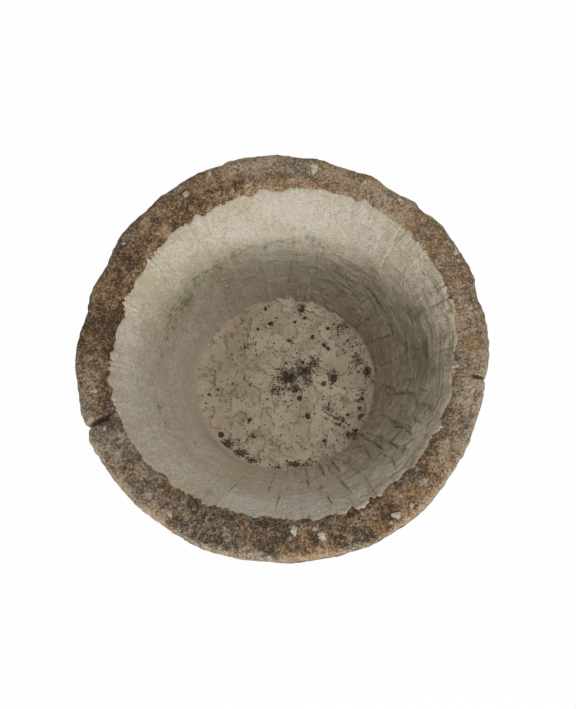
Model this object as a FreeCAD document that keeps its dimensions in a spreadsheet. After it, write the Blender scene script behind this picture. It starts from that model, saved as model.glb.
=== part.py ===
import FreeCAD, Part
import math
import os

import Sketcher
from FreeCAD import Placement, Rotation, Vector

# A round planter hewn from stone, in two stones that are bedded in mortar and pinned with steel
# dowels, lined on the wall with render and on the floor with a pebbled screed.
# Frame: origin at the centre of the foot, +Z up, +Y to the rear. Millimetres and degrees.

# Driving dimensions: alias, value and what it measures
SIZES = [
    ("stone_height", 352, "foot to rim"),
    ("rim_radius", 325, "mean outer radius under the rim"),
    ("foot_radius", 270, "mean outer radius at the foot"),
    ("belly_height", 190, "height of the section that swells the flank"),
    ("belly_swell", 10, "how far the flank stands proud of a straight taper there"),
    ("foot_share", 0.7, "share of the hewn outline's swells that is left at the foot"),
    ("dressing_depth", 3.6, "height of the lumps that the pick left on the flank"),
    ("arris_drop", 14, "height of the worn outer edge of the rim"),
    ("arris_run", 8, "width of the worn outer edge of the rim"),
    ("rim_wall", 37, "top of the stone, from its mean outer radius in to the worn edge of the mouth"),
    ("mouth_wear_drop", 8, "height of the worn edge of the mouth"),
    ("mouth_wear_run", 16, "width of the worn edge of the mouth"),
    ("floor_wall", 109, "thickness of the stone beside the floor, measured from the foot's radius"),
    ("base_thickness", 90, "stone under the hollow"),
    ("hollow_curve", 640, "radius of the hollow's flared wall in section"),
    ("render_thickness", 10, "lining on the wall"),
    ("lip_thickness", 3.2, "lining just below its torn upper edge"),
    ("lip_length", 3, "distance from the torn edge down to that thickness"),
    ("lip_taper", 50, "distance from the torn edge down to the full thickness"),
    ("torn_start", 6.3, "from the rim down the wall to the highest point of the torn edge"),
    ("torn_fall", 31, "from there down the wall to its lowest point"),
    ("screed_thickness", 30, "floor laid on the stone base"),
    ("bond_gap", 0.3, "clearance between curved faces that are bonded"),
    ("left_joint_angle", 203.5, "left joint, counter-clockwise from +X"),
    ("right_joint_angle", -10.4, "right joint, counter-clockwise from +X"),
    ("left_joint_width", 7, "open joint between the stones on the left"),
    ("right_joint_width", 4, "open joint between the stones on the right"),
    ("left_rake", 20, "depth of the left joint left open below the rim"),
    ("right_rake", 7, "depth of the right joint left open below the rim"),
    ("face_rake", 10, "depth that both joints are left open behind the outer face"),
    ("foot_rake", 4, "height that both joints are left open above the foot"),
    ("dowel_diameter", 12, "steel bar"),
    ("dowel_length", 150, "steel bar, centred on its joint"),
    ("grout_wall", 2.5, "grout round a bar in its drilled hole"),
    ("grout_end", 5, "grout past the end of a bar"),
    ("upper_dowel_depth", 84, "upper bar below the rim"),
    ("lower_dowel_rise", 62, "lower bar above the stone base"),
    ("base_dowel_radius", 95, "base bar from the axis"),
    ("large_pebble", 14, "length of a large pebble"),
    ("middle_pebble", 10.5, "length of a middling pebble"),
    ("small_pebble", 8, "length of a small pebble"),
    ("pebble_stand", 3, "height of a pebble's top above the screed"),
    ("rear_swell", 7.3, "hewn outline at the rear"),
    ("rear_right_flat", -4, "hewn outline at the rear right"),
    ("right_dent", -4.5, "hewn outline just behind the right joint"),
    ("right_flat", -5, "hewn outline just in front of the right joint"),
    ("front_right_swell", 7, "hewn outline at the front right"),
    ("front_swell", 7.5, "hewn outline at the front"),
    ("front_left_swell", 3.5, "hewn outline just in front of the left joint"),
    ("left_dent", -7.5, "hewn outline at the left"),
    ("rear_left_dent", -9.5, "hewn outline at the rear left"),
]

# The hewn outline's swells and dents: alias of the height, angle of the middle and spread, in degrees
HEWN_LOBES = [
    ("rear_swell", 99, 17),
    ("rear_right_flat", 56, 10),
    ("right_dent", 13, 8),
    ("right_flat", 343, 15),
    ("front_right_swell", 300, 16),
    ("front_swell", 262, 32),
    ("front_left_swell", 212, 14),
    ("left_dent", 172, 8),
    ("rear_left_dent", 157, 9),
]
OUTLINE_POINTS = 180

# Lumps of the hewn flank: waves round the stone, and the turn of each from one course to the next, in degrees
DRESSING_WAVES = [
    (32, 140),
    (23, 250),
    (13, 75),
]

# Courses of the dressing from the foot to the shoulder: share of the lumps' height in each
COURSE_SHARES = [0.4, 1, 1, 1, 0.9, 0.5, 0]

# Torn upper edge of the lining: share of its fall at even steps, from the right through the rear and the left
TORN_EDGE = [
    0.40, 0.20, 0.20, 0.10, 0.15, 0.30,
    0.50, 0.60, 0.75, 0.70, 0.90, 0.85,
    0.65, 0.30, 0.20, 0.30, 0.45, 0.65,
    0.60, 0.20, 0.10, 0.25, 0.35, 0.40,
]
TORN_POINTS = 72

# Where the lining's thickness is set below that edge, as shares of the way from its lip to its full thickness
TAPER_STEPS = (0, 0.12, 0.25, 0.45, 0.7, 1)

# Pebbles in the floor: place as shares of the floor's radius along X and Y, size, turn in degrees
BROWN_PEBBLES = [
    (0.42, -0.02, "large_pebble", 80),
    (-0.88, -0.14, "large_pebble", 10),
    (0.84, -0.40, "large_pebble", 30),
    (0.69, -0.60, "middle_pebble", 60),
    (-0.22, -0.20, "middle_pebble", 35),
    (0.48, 0.40, "middle_pebble", 140),
    (0.73, 0.41, "middle_pebble", 160),
    (0.03, 0.50, "small_pebble", 0),
]
DARK_PEBBLES = [
    (0.15, -0.18, "middle_pebble", 60),
    (0.24, -0.39, "middle_pebble", 120),
    (-0.73, -0.60, "large_pebble", 130),
    (-0.33, 0.64, "small_pebble", 100),
    (-0.18, 0.71, "middle_pebble", 20),
    (0.19, 0.88, "middle_pebble", 70),
    (0.48, 0.64, "small_pebble", 10),
    (0.55, 0.04, "middle_pebble", 110),
    (0.91, 0.11, "middle_pebble", 75),
]
PEBBLE_WIDTH_SHARE = 0.8
PEBBLE_HEIGHT_SHARE = 0.7

# How far a cut runs past the stone
CUT_MARGIN = 20.0
CUT_REACH = f"(Sizes.rim_radius + {CUT_MARGIN})"
JOINT_SIDES = ("left", "right")
DOWEL_LEVELS = ("upper", "lower", "base")

doc = FreeCAD.newDocument("planter")


# Spreadsheet
def make_sheet():
    """Writes the driving dimensions to the sheet, each under its alias."""
    sheet = doc.addObject("Spreadsheet::Sheet", "Sizes")
    for row, (alias, value, meaning) in enumerate(SIZES, start=1):
        sheet.set(f"A{row}", alias)
        sheet.set(f"B{row}", str(value))
        sheet.set(f"C{row}", meaning)
        sheet.setAlias(f"B{row}", alias)
    doc.recompute()
    return sheet


sheet = make_sheet()


def size(alias):
    """A driving dimension as a plain number."""
    return float(sheet.get(alias))


# Sizes that follow from the driving dimensions, as numbers and as expressions of the sheet
MOUTH = "(Sizes.rim_radius - Sizes.rim_wall)"
THROAT = f"({MOUTH} - Sizes.mouth_wear_run)"
HOLLOW_FLOOR = "(Sizes.foot_radius - Sizes.floor_wall)"
BASE = "Sizes.base_thickness"
HEIGHT = "Sizes.stone_height"
THROAT_HEIGHT = f"({HEIGHT} - Sizes.mouth_wear_drop)"
mouth_radius = size("rim_radius") - size("rim_wall")
throat_radius = mouth_radius - size("mouth_wear_run")
hollow_floor_radius = size("foot_radius") - size("floor_wall")
rim_height = size("stone_height")
throat_height = rim_height - size("mouth_wear_drop")
base_height = size("base_thickness")
shoulder_height = rim_height - size("arris_drop")
floor_height = base_height + size("screed_thickness")


def flank_radius(height):
    """Mean radius of the stone's outer face at a height between the foot and the worn arris."""
    taper = (size("rim_radius") - size("foot_radius")) / shoulder_height
    belly = size("belly_height")
    bulge = height * (shoulder_height - height) / (belly * (shoulder_height - belly))
    return size("foot_radius") + taper * height + size("belly_swell") * bulge


def wall_centre(inset):
    """Centre, in the section plane, of the flared wall that lies inset inside the stone's hollow."""
    low = Vector(hollow_floor_radius - inset, base_height, 0)
    high = Vector(throat_radius - inset, throat_height, 0)
    chord = high - low
    away = math.sqrt(size("hollow_curve") ** 2 - (chord.Length / 2) ** 2)
    outward = Vector(chord.y, -chord.x, 0).normalize()
    return (low + high) / 2 + outward * away


def wall_radius(height, inset):
    """Radius of that flared wall at a height."""
    centre = wall_centre(inset)
    return centre.x - math.sqrt(size("hollow_curve") ** 2 - (height - centre.y) ** 2)


def mouth_centre(inset):
    """Centre, in the section plane, of the worn edge of the mouth, which runs level into the rim's top."""
    run, drop = size("mouth_wear_run"), size("mouth_wear_drop")
    return Vector(mouth_radius - inset, rim_height - (run * run + drop * drop) / (2 * drop), 0)


def hollow_point(reach, depth):
    """Radius and height of a point reach down the hollow from the rim's top, and depth off the stone."""
    centre = mouth_centre(0)
    worn_radius = rim_height - centre.y
    worn_turn = math.atan2(size("mouth_wear_run"), throat_height - centre.y)
    if reach < worn_radius * worn_turn:
        turn = reach / worn_radius
        return centre + Vector(-math.sin(turn), math.cos(turn), 0) * (worn_radius + depth)
    centre = wall_centre(0)
    turn = math.atan2(throat_height - centre.y, throat_radius - centre.x)
    turn += (reach - worn_radius * worn_turn) / size("hollow_curve")
    return centre + Vector(math.cos(turn), math.sin(turn), 0) * (size("hollow_curve") + depth)


# Helpers
def bind(item, **expressions):
    """Binds an object's properties to expressions of the sheet."""
    for path, expression in expressions.items():
        item.setExpression(path, expression)
    return item


def combine(kind, name, base, tool):
    """A boolean of two objects, such as Part::Cut."""
    result = doc.addObject(kind, name)
    result.Base = base
    result.Tool = tool
    return result


def fuse_all(name, items):
    """Several objects as one."""
    result = doc.addObject("Part::MultiFuse", name)
    result.Shapes = items
    return result


def revolved_body(name, corners, walls, worn_edges):
    """A body turned about Z from a closed section.

    corners holds each corner's expression and value for radius and height. The section is straight from
    corner to corner, but from the corners numbered in walls it follows the flared wall at the inset given
    there, and from those in worn_edges the mouth's worn edge, at the inset given as expression and value."""
    arcs = {index: (wall_centre(inset), size("hollow_curve")) for index, inset in walls.items()}
    for index, (_, inset) in worn_edges.items():
        centre = mouth_centre(inset)
        arcs[index] = (centre, rim_height - centre.y)
    body = doc.addObject("PartDesign::Body", name)
    sketch = body.newObject("Sketcher::SketchObject", name + "_section")
    plane = next(item for item in body.Origin.OriginFeatures if item.Role == "XZ_Plane")
    sketch.AttachmentSupport = [(plane, "")]
    sketch.MapMode = "FlatFace"
    points = [Vector(radius[1], height[1], 0) for radius, height in corners]
    ends = []
    for index, point in enumerate(points):
        following = points[(index + 1) % len(points)]
        if index in arcs:
            centre, radius = arcs[index]
            circle = Part.Circle(centre, Vector(0, 0, 1), radius)
            first, last = sorted((point, following), key=lambda corner: -corner.y)
            start = math.atan2(first.y - centre.y, first.x - centre.x)
            stop = math.atan2(last.y - centre.y, last.x - centre.x) % (2 * math.pi)
            edge = sketch.addGeometry(Part.ArcOfCircle(circle, start, stop), False)
            ends.append((edge, 1, 2) if first is point else (edge, 2, 1))
        else:
            edge = sketch.addGeometry(Part.LineSegment(point, following), False)
            ends.append((edge, 1, 2))
    for index, (edge, start, stop) in enumerate(ends):
        next_edge, next_start, _ = ends[(index + 1) % len(ends)]
        sketch.addConstraint(Sketcher.Constraint("Coincident", edge, stop, next_edge, next_start))
    for (radius, height), (edge, start, _) in zip(corners, ends):
        if radius[1] == 0:
            sketch.addConstraint(Sketcher.Constraint("PointOnObject", edge, start, -2))
        else:
            number = sketch.addConstraint(Sketcher.Constraint("DistanceX", edge, start, radius[1]))
            sketch.setExpression(f"Constraints[{number}]", radius[0])
        number = sketch.addConstraint(Sketcher.Constraint("DistanceY", edge, start, height[1]))
        sketch.setExpression(f"Constraints[{number}]", height[0])
    for index in walls:
        number = sketch.addConstraint(Sketcher.Constraint("Radius", ends[index][0], size("hollow_curve")))
        sketch.setExpression(f"Constraints[{number}]", "Sizes.hollow_curve")
    for index, (expression, inset) in worn_edges.items():
        edge = ends[index][0]
        number = sketch.addConstraint(Sketcher.Constraint("DistanceX", edge, 3, mouth_radius - inset))
        sketch.setExpression(f"Constraints[{number}]", f"{MOUTH} - {expression}")
    turn = body.newObject("PartDesign::Revolution", name + "_turn")
    turn.Profile = sketch
    turn.ReferenceAxis = (sketch, ["V_Axis"])
    turn.Angle = 360
    return body


# Closed curves round the axis
def ring(angles, radii, heights):
    """A smooth closed curve through points at angles, with the same spacing at every level."""
    points = []
    for angle, radius, height in zip(angles, radii, heights):
        turn = math.radians(angle)
        points.append(Vector(radius * math.cos(turn), radius * math.sin(turn), height))
    curve = Part.BSplineCurve()
    steps = [step / len(points) for step in range(len(points) + 1)]
    curve.interpolate(Points=points, PeriodicFlag=True, Parameters=steps)
    return Part.Wire([curve.toShape()])


# Hewn outline
def hewn_swell(angle):
    """How far the hewn outline's swells and dents stand out from a circle."""
    swell = 0.0
    for alias, middle, spread in HEWN_LOBES:
        apart = (angle - middle + 180) % 360 - 180
        swell += size(alias) * math.exp(-((apart / spread) ** 2))
    return swell


def dressing(angle, course):
    """How far the pick's lumps stand out in a course, from the foot up."""
    waves = [math.cos(math.radians(count * angle + turn * course)) for count, turn in DRESSING_WAVES]
    return size("dressing_depth") * COURSE_SHARES[course] * sum(waves) / len(waves)


def hewn_block(name, inset):
    """The stone's outer form, drawn in by inset: courses of a swelling flank and a worn arris."""
    angles = [360.0 * step / OUTLINE_POINTS for step in range(OUTLINE_POINTS)]
    swells = [hewn_swell(angle) for angle in angles]
    top = len(COURSE_SHARES) - 1
    levels = []
    for course in range(top + 1):
        height = shoulder_height * course / top
        share = size("foot_share") + (1 - size("foot_share")) * course / top
        radius = flank_radius(height) - inset
        radii = [radius + share * swell + dressing(angle, course) for angle, swell in zip(angles, swells)]
        levels.append(ring(angles, radii, [height] * OUTLINE_POINTS))
    radius = size("rim_radius") - size("arris_run") - inset
    levels.append(ring(angles, [radius + swell for swell in swells], [rim_height] * OUTLINE_POINTS))
    block = doc.addObject("Part::Feature", name)
    block.Shape = Part.makeLoft(levels, True, True)
    return block


# Torn edge of the lining
def torn_reach(angle):
    """Distance of the torn edge from the rim down the wall, in smooth waves from row to row of its table."""
    spacing = 360 / len(TORN_EDGE)
    row = int(angle // spacing)
    start, stop = TORN_EDGE[row], TORN_EDGE[(row + 1) % len(TORN_EDGE)]
    ease = (1 - math.cos(math.pi * (angle / spacing - row))) / 2
    return size("torn_start") + size("torn_fall") * (start + (stop - start) * ease)


def torn_void(name):
    """The room that the lining leaves free along its torn upper edge and above it."""
    angles = [360.0 * step / TORN_POINTS for step in range(TORN_POINTS)]
    thin, full = size("lip_thickness"), size("render_thickness")
    rows = [(0, -thin / 2)]
    for step in TAPER_STEPS:
        fall = size("lip_length") + step * (size("lip_taper") - size("lip_length"))
        rows.append((fall, thin + (full - thin) * step * step * (3 - 2 * step)))
    outside = mouth_radius + CUT_MARGIN
    levels = [[Vector(hollow_floor_radius / 2, floor_height, 0)] * TORN_POINTS]
    for fall, depth in reversed(rows):
        levels.append([hollow_point(torn_reach(angle) + fall, depth) for angle in angles])
    levels.append([Vector(outside, point.y, 0) for point in levels[-1]])
    levels.append([Vector(outside, rim_height + CUT_MARGIN, 0)] * TORN_POINTS)
    levels = [ring(angles, [point.x for point in level], [point.y for point in level]) for level in levels]
    void = doc.addObject("Part::Feature", name)
    void.Shape = Part.makeLoft(levels, True, True)
    return void


# Joints between the stones
def joint_box(side, name, low, high):
    """A slab that fills a joint's width from a little past the axis outwards, between two heights."""
    width = f"Sizes.{side}_joint_width"
    angle = f"Sizes.{side}_joint_angle"
    slab = doc.addObject("Part::Box", name)
    slab.Placement = Placement(Vector(), Rotation(Vector(0, 0, 1), 1))
    bind(
        slab,
        Length=f"{CUT_REACH} + {width}",
        Width=width,
        Height=f"{high} - ({low})",
    )
    slab.setExpression("Placement.Rotation.Angle", angle)
    slab.setExpression("Placement.Base.x", f"{width} / 2 * (sin({angle}) - cos({angle}))")
    slab.setExpression("Placement.Base.y", f"-{width} / 2 * (cos({angle}) + sin({angle}))")
    slab.setExpression("Placement.Base.z", low)
    return slab


def dowel_place(side, level, length):
    """Where a bar of a length lies: square to its joint, centred on it, in the middle of the stone."""
    if level == "base":
        height = base_height / 2
        reach = size("base_dowel_radius")
    else:
        if level == "upper":
            height = rim_height - size("upper_dowel_depth")
        else:
            height = base_height + size("lower_dowel_rise")
        reach = (wall_radius(height, 0) + flank_radius(height)) / 2
    angle = math.radians(size(f"{side}_joint_angle"))
    across = Vector(-math.sin(angle), math.cos(angle), 0)
    middle = Vector(reach * math.cos(angle), reach * math.sin(angle), height)
    return Placement(middle - across * (length / 2), Rotation(Vector(0, 0, 1), across))


def bar(side, level, name, radius, length):
    """A round bar, or the hole for one, whose radius and length are expressions of the sheet."""
    item = doc.addObject("Part::Cylinder", name)
    bind(item, Radius=radius, Height=length)
    doc.recompute()
    item.Placement = dowel_place(side, level, item.Height.Value)
    return item


def make_dowels(side):
    """The bars of one joint, the room that mortar and grout leave for them, the holes drilled for
    them, and the grout that fills the holes."""
    bars = []
    rooms = []
    holes = []
    plugs = []
    grouted = "(Sizes.dowel_length + 2 * Sizes.grout_end)"
    hole_radius = "(Sizes.dowel_diameter / 2 + Sizes.grout_wall)"
    for level in DOWEL_LEVELS:
        name = f"{side}_{level}"
        bars.append(bar(side, level, f"{name}_dowel", "Sizes.dowel_diameter / 2", "Sizes.dowel_length"))
        rooms.append(bar(side, level, f"{name}_room", "Sizes.dowel_diameter / 2 + Sizes.bond_gap",
                         "Sizes.dowel_length + 2 * Sizes.bond_gap"))
        holes.append(bar(side, level, f"{name}_hole", hole_radius, grouted))
        plugs.append(bar(side, level, f"{name}_plug", f"{hole_radius} - Sizes.bond_gap",
                         f"{grouted} - 2 * Sizes.bond_gap"))
    return bars, fuse_all(f"{side}_rooms", rooms), holes, fuse_all(f"{side}_plugs", plugs)


# Pebbles
def pebble(name, row, floor_radius, clearance):
    """One pebble bedded in the screed, or its socket when a clearance is given."""
    share_x, share_y, alias, turn = row
    half = f"Sizes.{alias} / 2"
    stone = doc.addObject("Part::Ellipsoid", name)
    bind(
        stone,
        Radius1=f"{half} * {PEBBLE_HEIGHT_SHARE} + {clearance}",
        Radius2=f"{half} + {clearance}",
        Radius3=f"{half} * {PEBBLE_WIDTH_SHARE} + {clearance}",
    )
    rise = size("pebble_stand") - size(alias) / 2 * PEBBLE_HEIGHT_SHARE
    place = Vector(share_x * floor_radius, share_y * floor_radius, floor_height + rise)
    stone.Placement = Placement(place, Rotation(Vector(0, 0, 1), turn))
    return stone


def make_pebbles(label, rows, floor_radius):
    """A group of pebbles, and their sockets in the screed."""
    stones = []
    sockets = []
    for number, row in enumerate(rows, start=1):
        stones.append(pebble(f"{label}_{number}", row, floor_radius, "0"))
        sockets.append(pebble(f"{label}_socket_{number}", row, floor_radius, "Sizes.bond_gap"))
    group = doc.addObject("Part::Compound", label)
    group.Links = stones
    return group, sockets


# Stones
block = hewn_block("hewn_block", 0)
over_rim = (f"{HEIGHT} + {CUT_MARGIN}", rim_height + CUT_MARGIN)
hollow = revolved_body(
    "hollow",
    [
        (("0", 0), (BASE, base_height)),
        ((HOLLOW_FLOOR, hollow_floor_radius), (BASE, base_height)),
        ((THROAT, throat_radius), (THROAT_HEIGHT, throat_height)),
        ((MOUTH, mouth_radius), (HEIGHT, rim_height)),
        ((MOUTH, mouth_radius), over_rim),
        (("0", 0), over_rim),
    ],
    {1: 0.0},
    {2: ("0", 0.0)},
)
under_foot = f"-{CUT_MARGIN}"
joint_gaps = {side: joint_box(side, f"{side}_gap", under_foot, over_rim[0]) for side in JOINT_SIDES}
rear_sector = bind(
    doc.addObject("Part::Cylinder", "rear_sector"),
    Radius=CUT_REACH,
    Height=f"{HEIGHT} + 2 * {CUT_MARGIN}",
    Angle="Sizes.left_joint_angle - Sizes.right_joint_angle",
)
sector_turn = Rotation(Vector(0, 0, 1), size("right_joint_angle"))
rear_sector.Placement = Placement(Vector(0, 0, -CUT_MARGIN), sector_turn)

dowels = {side: make_dowels(side) for side in JOINT_SIDES}
drilled = fuse_all("drilled_holes", [hole for side in JOINT_SIDES for hole in dowels[side][2]])
bowl = combine("Part::Cut", "bowl", block, hollow)
open_joints = fuse_all("open_joints", list(joint_gaps.values()))
jointed = combine("Part::Cut", "jointed_bowl", bowl, open_joints)
rear_half = combine("Part::Common", "rear_half", jointed, rear_sector)
front_half = combine("Part::Cut", "front_half", jointed, rear_sector)
rear_stone = combine("Part::Cut", "rear_stone", rear_half, drilled)
front_stone = combine("Part::Cut", "front_stone", front_half, drilled)

# Mortar and grout
mortar_block = hewn_block("mortar_block", size("face_rake"))
mortar_ring = combine("Part::Cut", "mortar_ring", mortar_block, hollow)
beds = {}
for side in JOINT_SIDES:
    slab = joint_box(side, f"{side}_slab", "Sizes.foot_rake", f"{HEIGHT} - Sizes.{side}_rake")
    bed = combine("Part::Common", f"{side}_bed", slab, mortar_ring)
    beds[side] = combine("Part::Cut", f"{side}_joint_mortar", bed, dowels[side][1])
right_bed = beds["right"]
right_bed.Label = "right_bed_drilled"
beds["right"] = combine("Part::Cut", "right_mortar", right_bed, joint_gaps["left"])
beds["right"].Label = "right_joint_mortar"
grout = {}
for side in JOINT_SIDES:
    sleeve = combine("Part::Cut", f"{side}_sleeves", dowels[side][3], dowels[side][1])
    grout[side] = combine("Part::Cut", f"{side}_dowel_grout", sleeve, joint_gaps[side])

# Lining and floor
outer_inset = "Sizes.bond_gap"
inner_inset = "Sizes.render_thickness"
gap = size("bond_gap")
thickness = size("render_thickness")
coat = revolved_body(
    "coat",
    [
        ((f"{HOLLOW_FLOOR} - {inner_inset}", hollow_floor_radius - thickness), (BASE, base_height)),
        ((f"{HOLLOW_FLOOR} - {outer_inset}", hollow_floor_radius - gap), (BASE, base_height)),
        ((f"{THROAT} - {outer_inset}", throat_radius - gap), (THROAT_HEIGHT, throat_height)),
        ((f"{MOUTH} - {outer_inset}", mouth_radius - gap), (HEIGHT, rim_height)),
        ((f"{THROAT} - {inner_inset}", throat_radius - thickness), (HEIGHT, rim_height)),
        ((f"{THROAT} - {inner_inset}", throat_radius - thickness), (THROAT_HEIGHT, throat_height)),
    ],
    {1: gap, 5: thickness},
    {2: (outer_inset, gap)},
)
wall_render = combine("Part::Cut", "wall_render", coat, torn_void("torn_void"))
lined = thickness + gap
lined_inset = f"{inner_inset} - {outer_inset}"
screed_radius = wall_radius(floor_height, lined)
lined_hollow = revolved_body(
    "lined_hollow",
    [
        (("0", 0), (BASE, base_height)),
        ((f"{HOLLOW_FLOOR} - {lined_inset}", hollow_floor_radius - lined), (BASE, base_height)),
        ((f"{THROAT} - {lined_inset}", throat_radius - lined), (THROAT_HEIGHT, throat_height)),
        (("0", 0), (THROAT_HEIGHT, throat_height)),
    ],
    {1: lined},
    {},
)
screed_layer = bind(
    doc.addObject("Part::Cylinder", "screed_layer"),
    Radius="Sizes.rim_radius",
    Height="Sizes.screed_thickness",
)
screed_layer.Placement = Placement(Vector(0, 0, base_height), Rotation())
screed_blank = combine("Part::Common", "screed_blank", lined_hollow, screed_layer)
brown_pebbles, brown_sockets = make_pebbles("brown_pebbles", BROWN_PEBBLES, screed_radius)
dark_pebbles, dark_sockets = make_pebbles("dark_pebbles", DARK_PEBBLES, screed_radius)
sockets = fuse_all("pebble_sockets", brown_sockets + dark_sockets)
floor_screed = combine("Part::Cut", "floor_screed", screed_blank, sockets)

doc.recompute()

# Files
nodes = [rear_stone, front_stone, wall_render, floor_screed, brown_pebbles, dark_pebbles]
for side in JOINT_SIDES:
    nodes += [beds[side], grout[side]] + dowels[side][0]
for item in doc.Objects:
    if "Invalid" in item.State or "Error" in item.State:
        raise RuntimeError(f"{item.Label} did not build: {item.State}")
for node in nodes:
    if node.Shape.isNull() or not node.Shape.isValid():
        raise RuntimeError(f"{node.Label} has no valid shape")
os.makedirs("parts", exist_ok=True)
for node in nodes:
    node.Shape.exportStep(f"parts/{node.Label}.step")
    print(f"{node.Label}: {len(node.Shape.Solids)} solids, {node.Shape.Volume / 1000:.1f} cm3")
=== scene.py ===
"""Looks of a round hewn stone planter bowl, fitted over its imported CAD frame.

Two weathered stones meet at two joints. A trowelled lining covers the hollow's wall, and a sandy floor with
pebbles, pits and grit lies inside it. Lengths are in metres, and the measured tables are in millimetres and
degrees. Angles run from the right, through the rear, to the left and the front.
"""

import math

import bmesh
import bpy
import numpy as np
from bpy.props import FloatProperty, FloatVectorProperty, IntProperty, PointerProperty
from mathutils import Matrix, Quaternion, Vector


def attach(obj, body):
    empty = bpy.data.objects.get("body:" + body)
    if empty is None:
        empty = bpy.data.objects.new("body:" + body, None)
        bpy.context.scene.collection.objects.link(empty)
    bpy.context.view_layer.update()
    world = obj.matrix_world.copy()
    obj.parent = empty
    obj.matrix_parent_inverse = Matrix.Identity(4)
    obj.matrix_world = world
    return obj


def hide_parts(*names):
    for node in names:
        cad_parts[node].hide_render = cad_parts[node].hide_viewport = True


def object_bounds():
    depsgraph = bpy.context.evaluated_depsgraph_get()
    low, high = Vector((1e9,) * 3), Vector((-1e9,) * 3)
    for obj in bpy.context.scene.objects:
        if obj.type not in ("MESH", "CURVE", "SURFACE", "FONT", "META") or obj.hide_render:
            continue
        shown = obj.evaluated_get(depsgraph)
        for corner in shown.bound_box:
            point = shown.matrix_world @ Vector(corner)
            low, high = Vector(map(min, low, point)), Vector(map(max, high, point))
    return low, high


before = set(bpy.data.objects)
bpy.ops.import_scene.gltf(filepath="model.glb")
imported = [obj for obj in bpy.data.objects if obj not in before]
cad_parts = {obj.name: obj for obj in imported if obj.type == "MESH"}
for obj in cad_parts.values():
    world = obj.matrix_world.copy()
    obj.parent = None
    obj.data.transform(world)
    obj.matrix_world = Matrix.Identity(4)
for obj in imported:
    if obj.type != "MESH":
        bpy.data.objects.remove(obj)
CAD_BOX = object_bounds()

bl_info = {
    "name": "Hewn Stone Planter",
    "version": (1, 0, 0),
    "blender": (4, 5, 0),
    "location": "3D View > Sidebar > Planter",
    "description": "Dresses the planter's frame with hewn stone, a trowelled lining and a pebbled floor",
    "category": "Object",
}

MM = 0.001
BODY = "root"

# Swells and dents of the hewn outline: angle, spread, height in mm
HEWN_LOBES = (
    (99, 17, 7.3), (56, 10, -4), (13, 8, -4.5), (343, 15, -5), (300, 16, 7),
    (262, 32, 7.5), (212, 14, 3.5), (172, 8, -7.5), (157, 9, -9.5),
)

# Lumps that the pick left on the flank: waves round the stone, and the turn of each from course to course
DRESSING_WAVES = ((32, 140), (23, 250), (13, 75))

# Courses of those lumps from the foot to the shoulder: share of their height in each
COURSE_SHARES = (0.4, 1, 1, 1, 0.9, 0.5, 0)

# Chips and bumps along the rim's outer edge: angle, height in mm
EDGE_CHIPS = (
    (0, 0), (9, 1), (14, -2), (20, 3.1), (26, 0.6), (34, 1.5), (37, 3.6), (40, 2.8), (44, -1.6),
    (46, -0.5), (48, 4.1), (52, 0.9), (54, -0.4), (58, 0.8), (62, 5), (64, 4.3), (66, 0.8), (72, -1.5),
    (80, 2.9), (84, -1.1), (92, 2.6), (96, 0), (106, 3.1), (108, 0.5), (115, 4.8), (120, 4.2), (126, 2.2),
    (128, 3.9), (134, -0.8), (144, 1.7), (154, -1), (160, 3), (164, 3.4), (170, -1.3), (176, 1.7),
    (186, 1.2), (193, -1), (200, 1.4), (204, -1.6), (206, 2.5), (214, -0.7), (230, 2.1), (236, -0.3),
    (244, 2), (250, 2.2), (258, -1.4), (270, -1.3), (286, -1.3), (293, 0.7), (302, -2), (308, 1.4),
    (312, 1.7), (322, -0.3), (331, 1.2), (336, -0.6), (343, 1), (350, -2), (357, 0),
)

# Colour of the stone round the rim: angle, share of rust, lightness from 0 to 1
STONE_TONES = (
    (15, 0.50, 0.70), (45, 0.70, 0.72), (70, 0.55, 0.90), (95, 0.50, 0.98), (120, 0.78, 0.48),
    (150, 0.75, 0.46), (175, 0.80, 0.08), (195, 0.50, 0.46), (210, 0.12, 0.76), (235, 0.40, 0.32),
    (255, 0.40, 0.28), (280, 0.50, 0.28), (300, 0.75, 0.00), (325, 0.60, 0.52), (345, 0.40, 0.80),
)

# Round brown growths on the rim: angle, radius and half width in mm
ROSETTES = (
    (44.3, 309, 8), (43.9, 288, 9), (33.9, 298.5, 11), (359.8, 297, 15), (38, 315, 6), (272, 312, 9),
    (283, 300, 8), (297, 318, 9), (310, 305, 10), (318, 312, 8), (140, 303, 9), (152, 296, 8),
)

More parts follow.
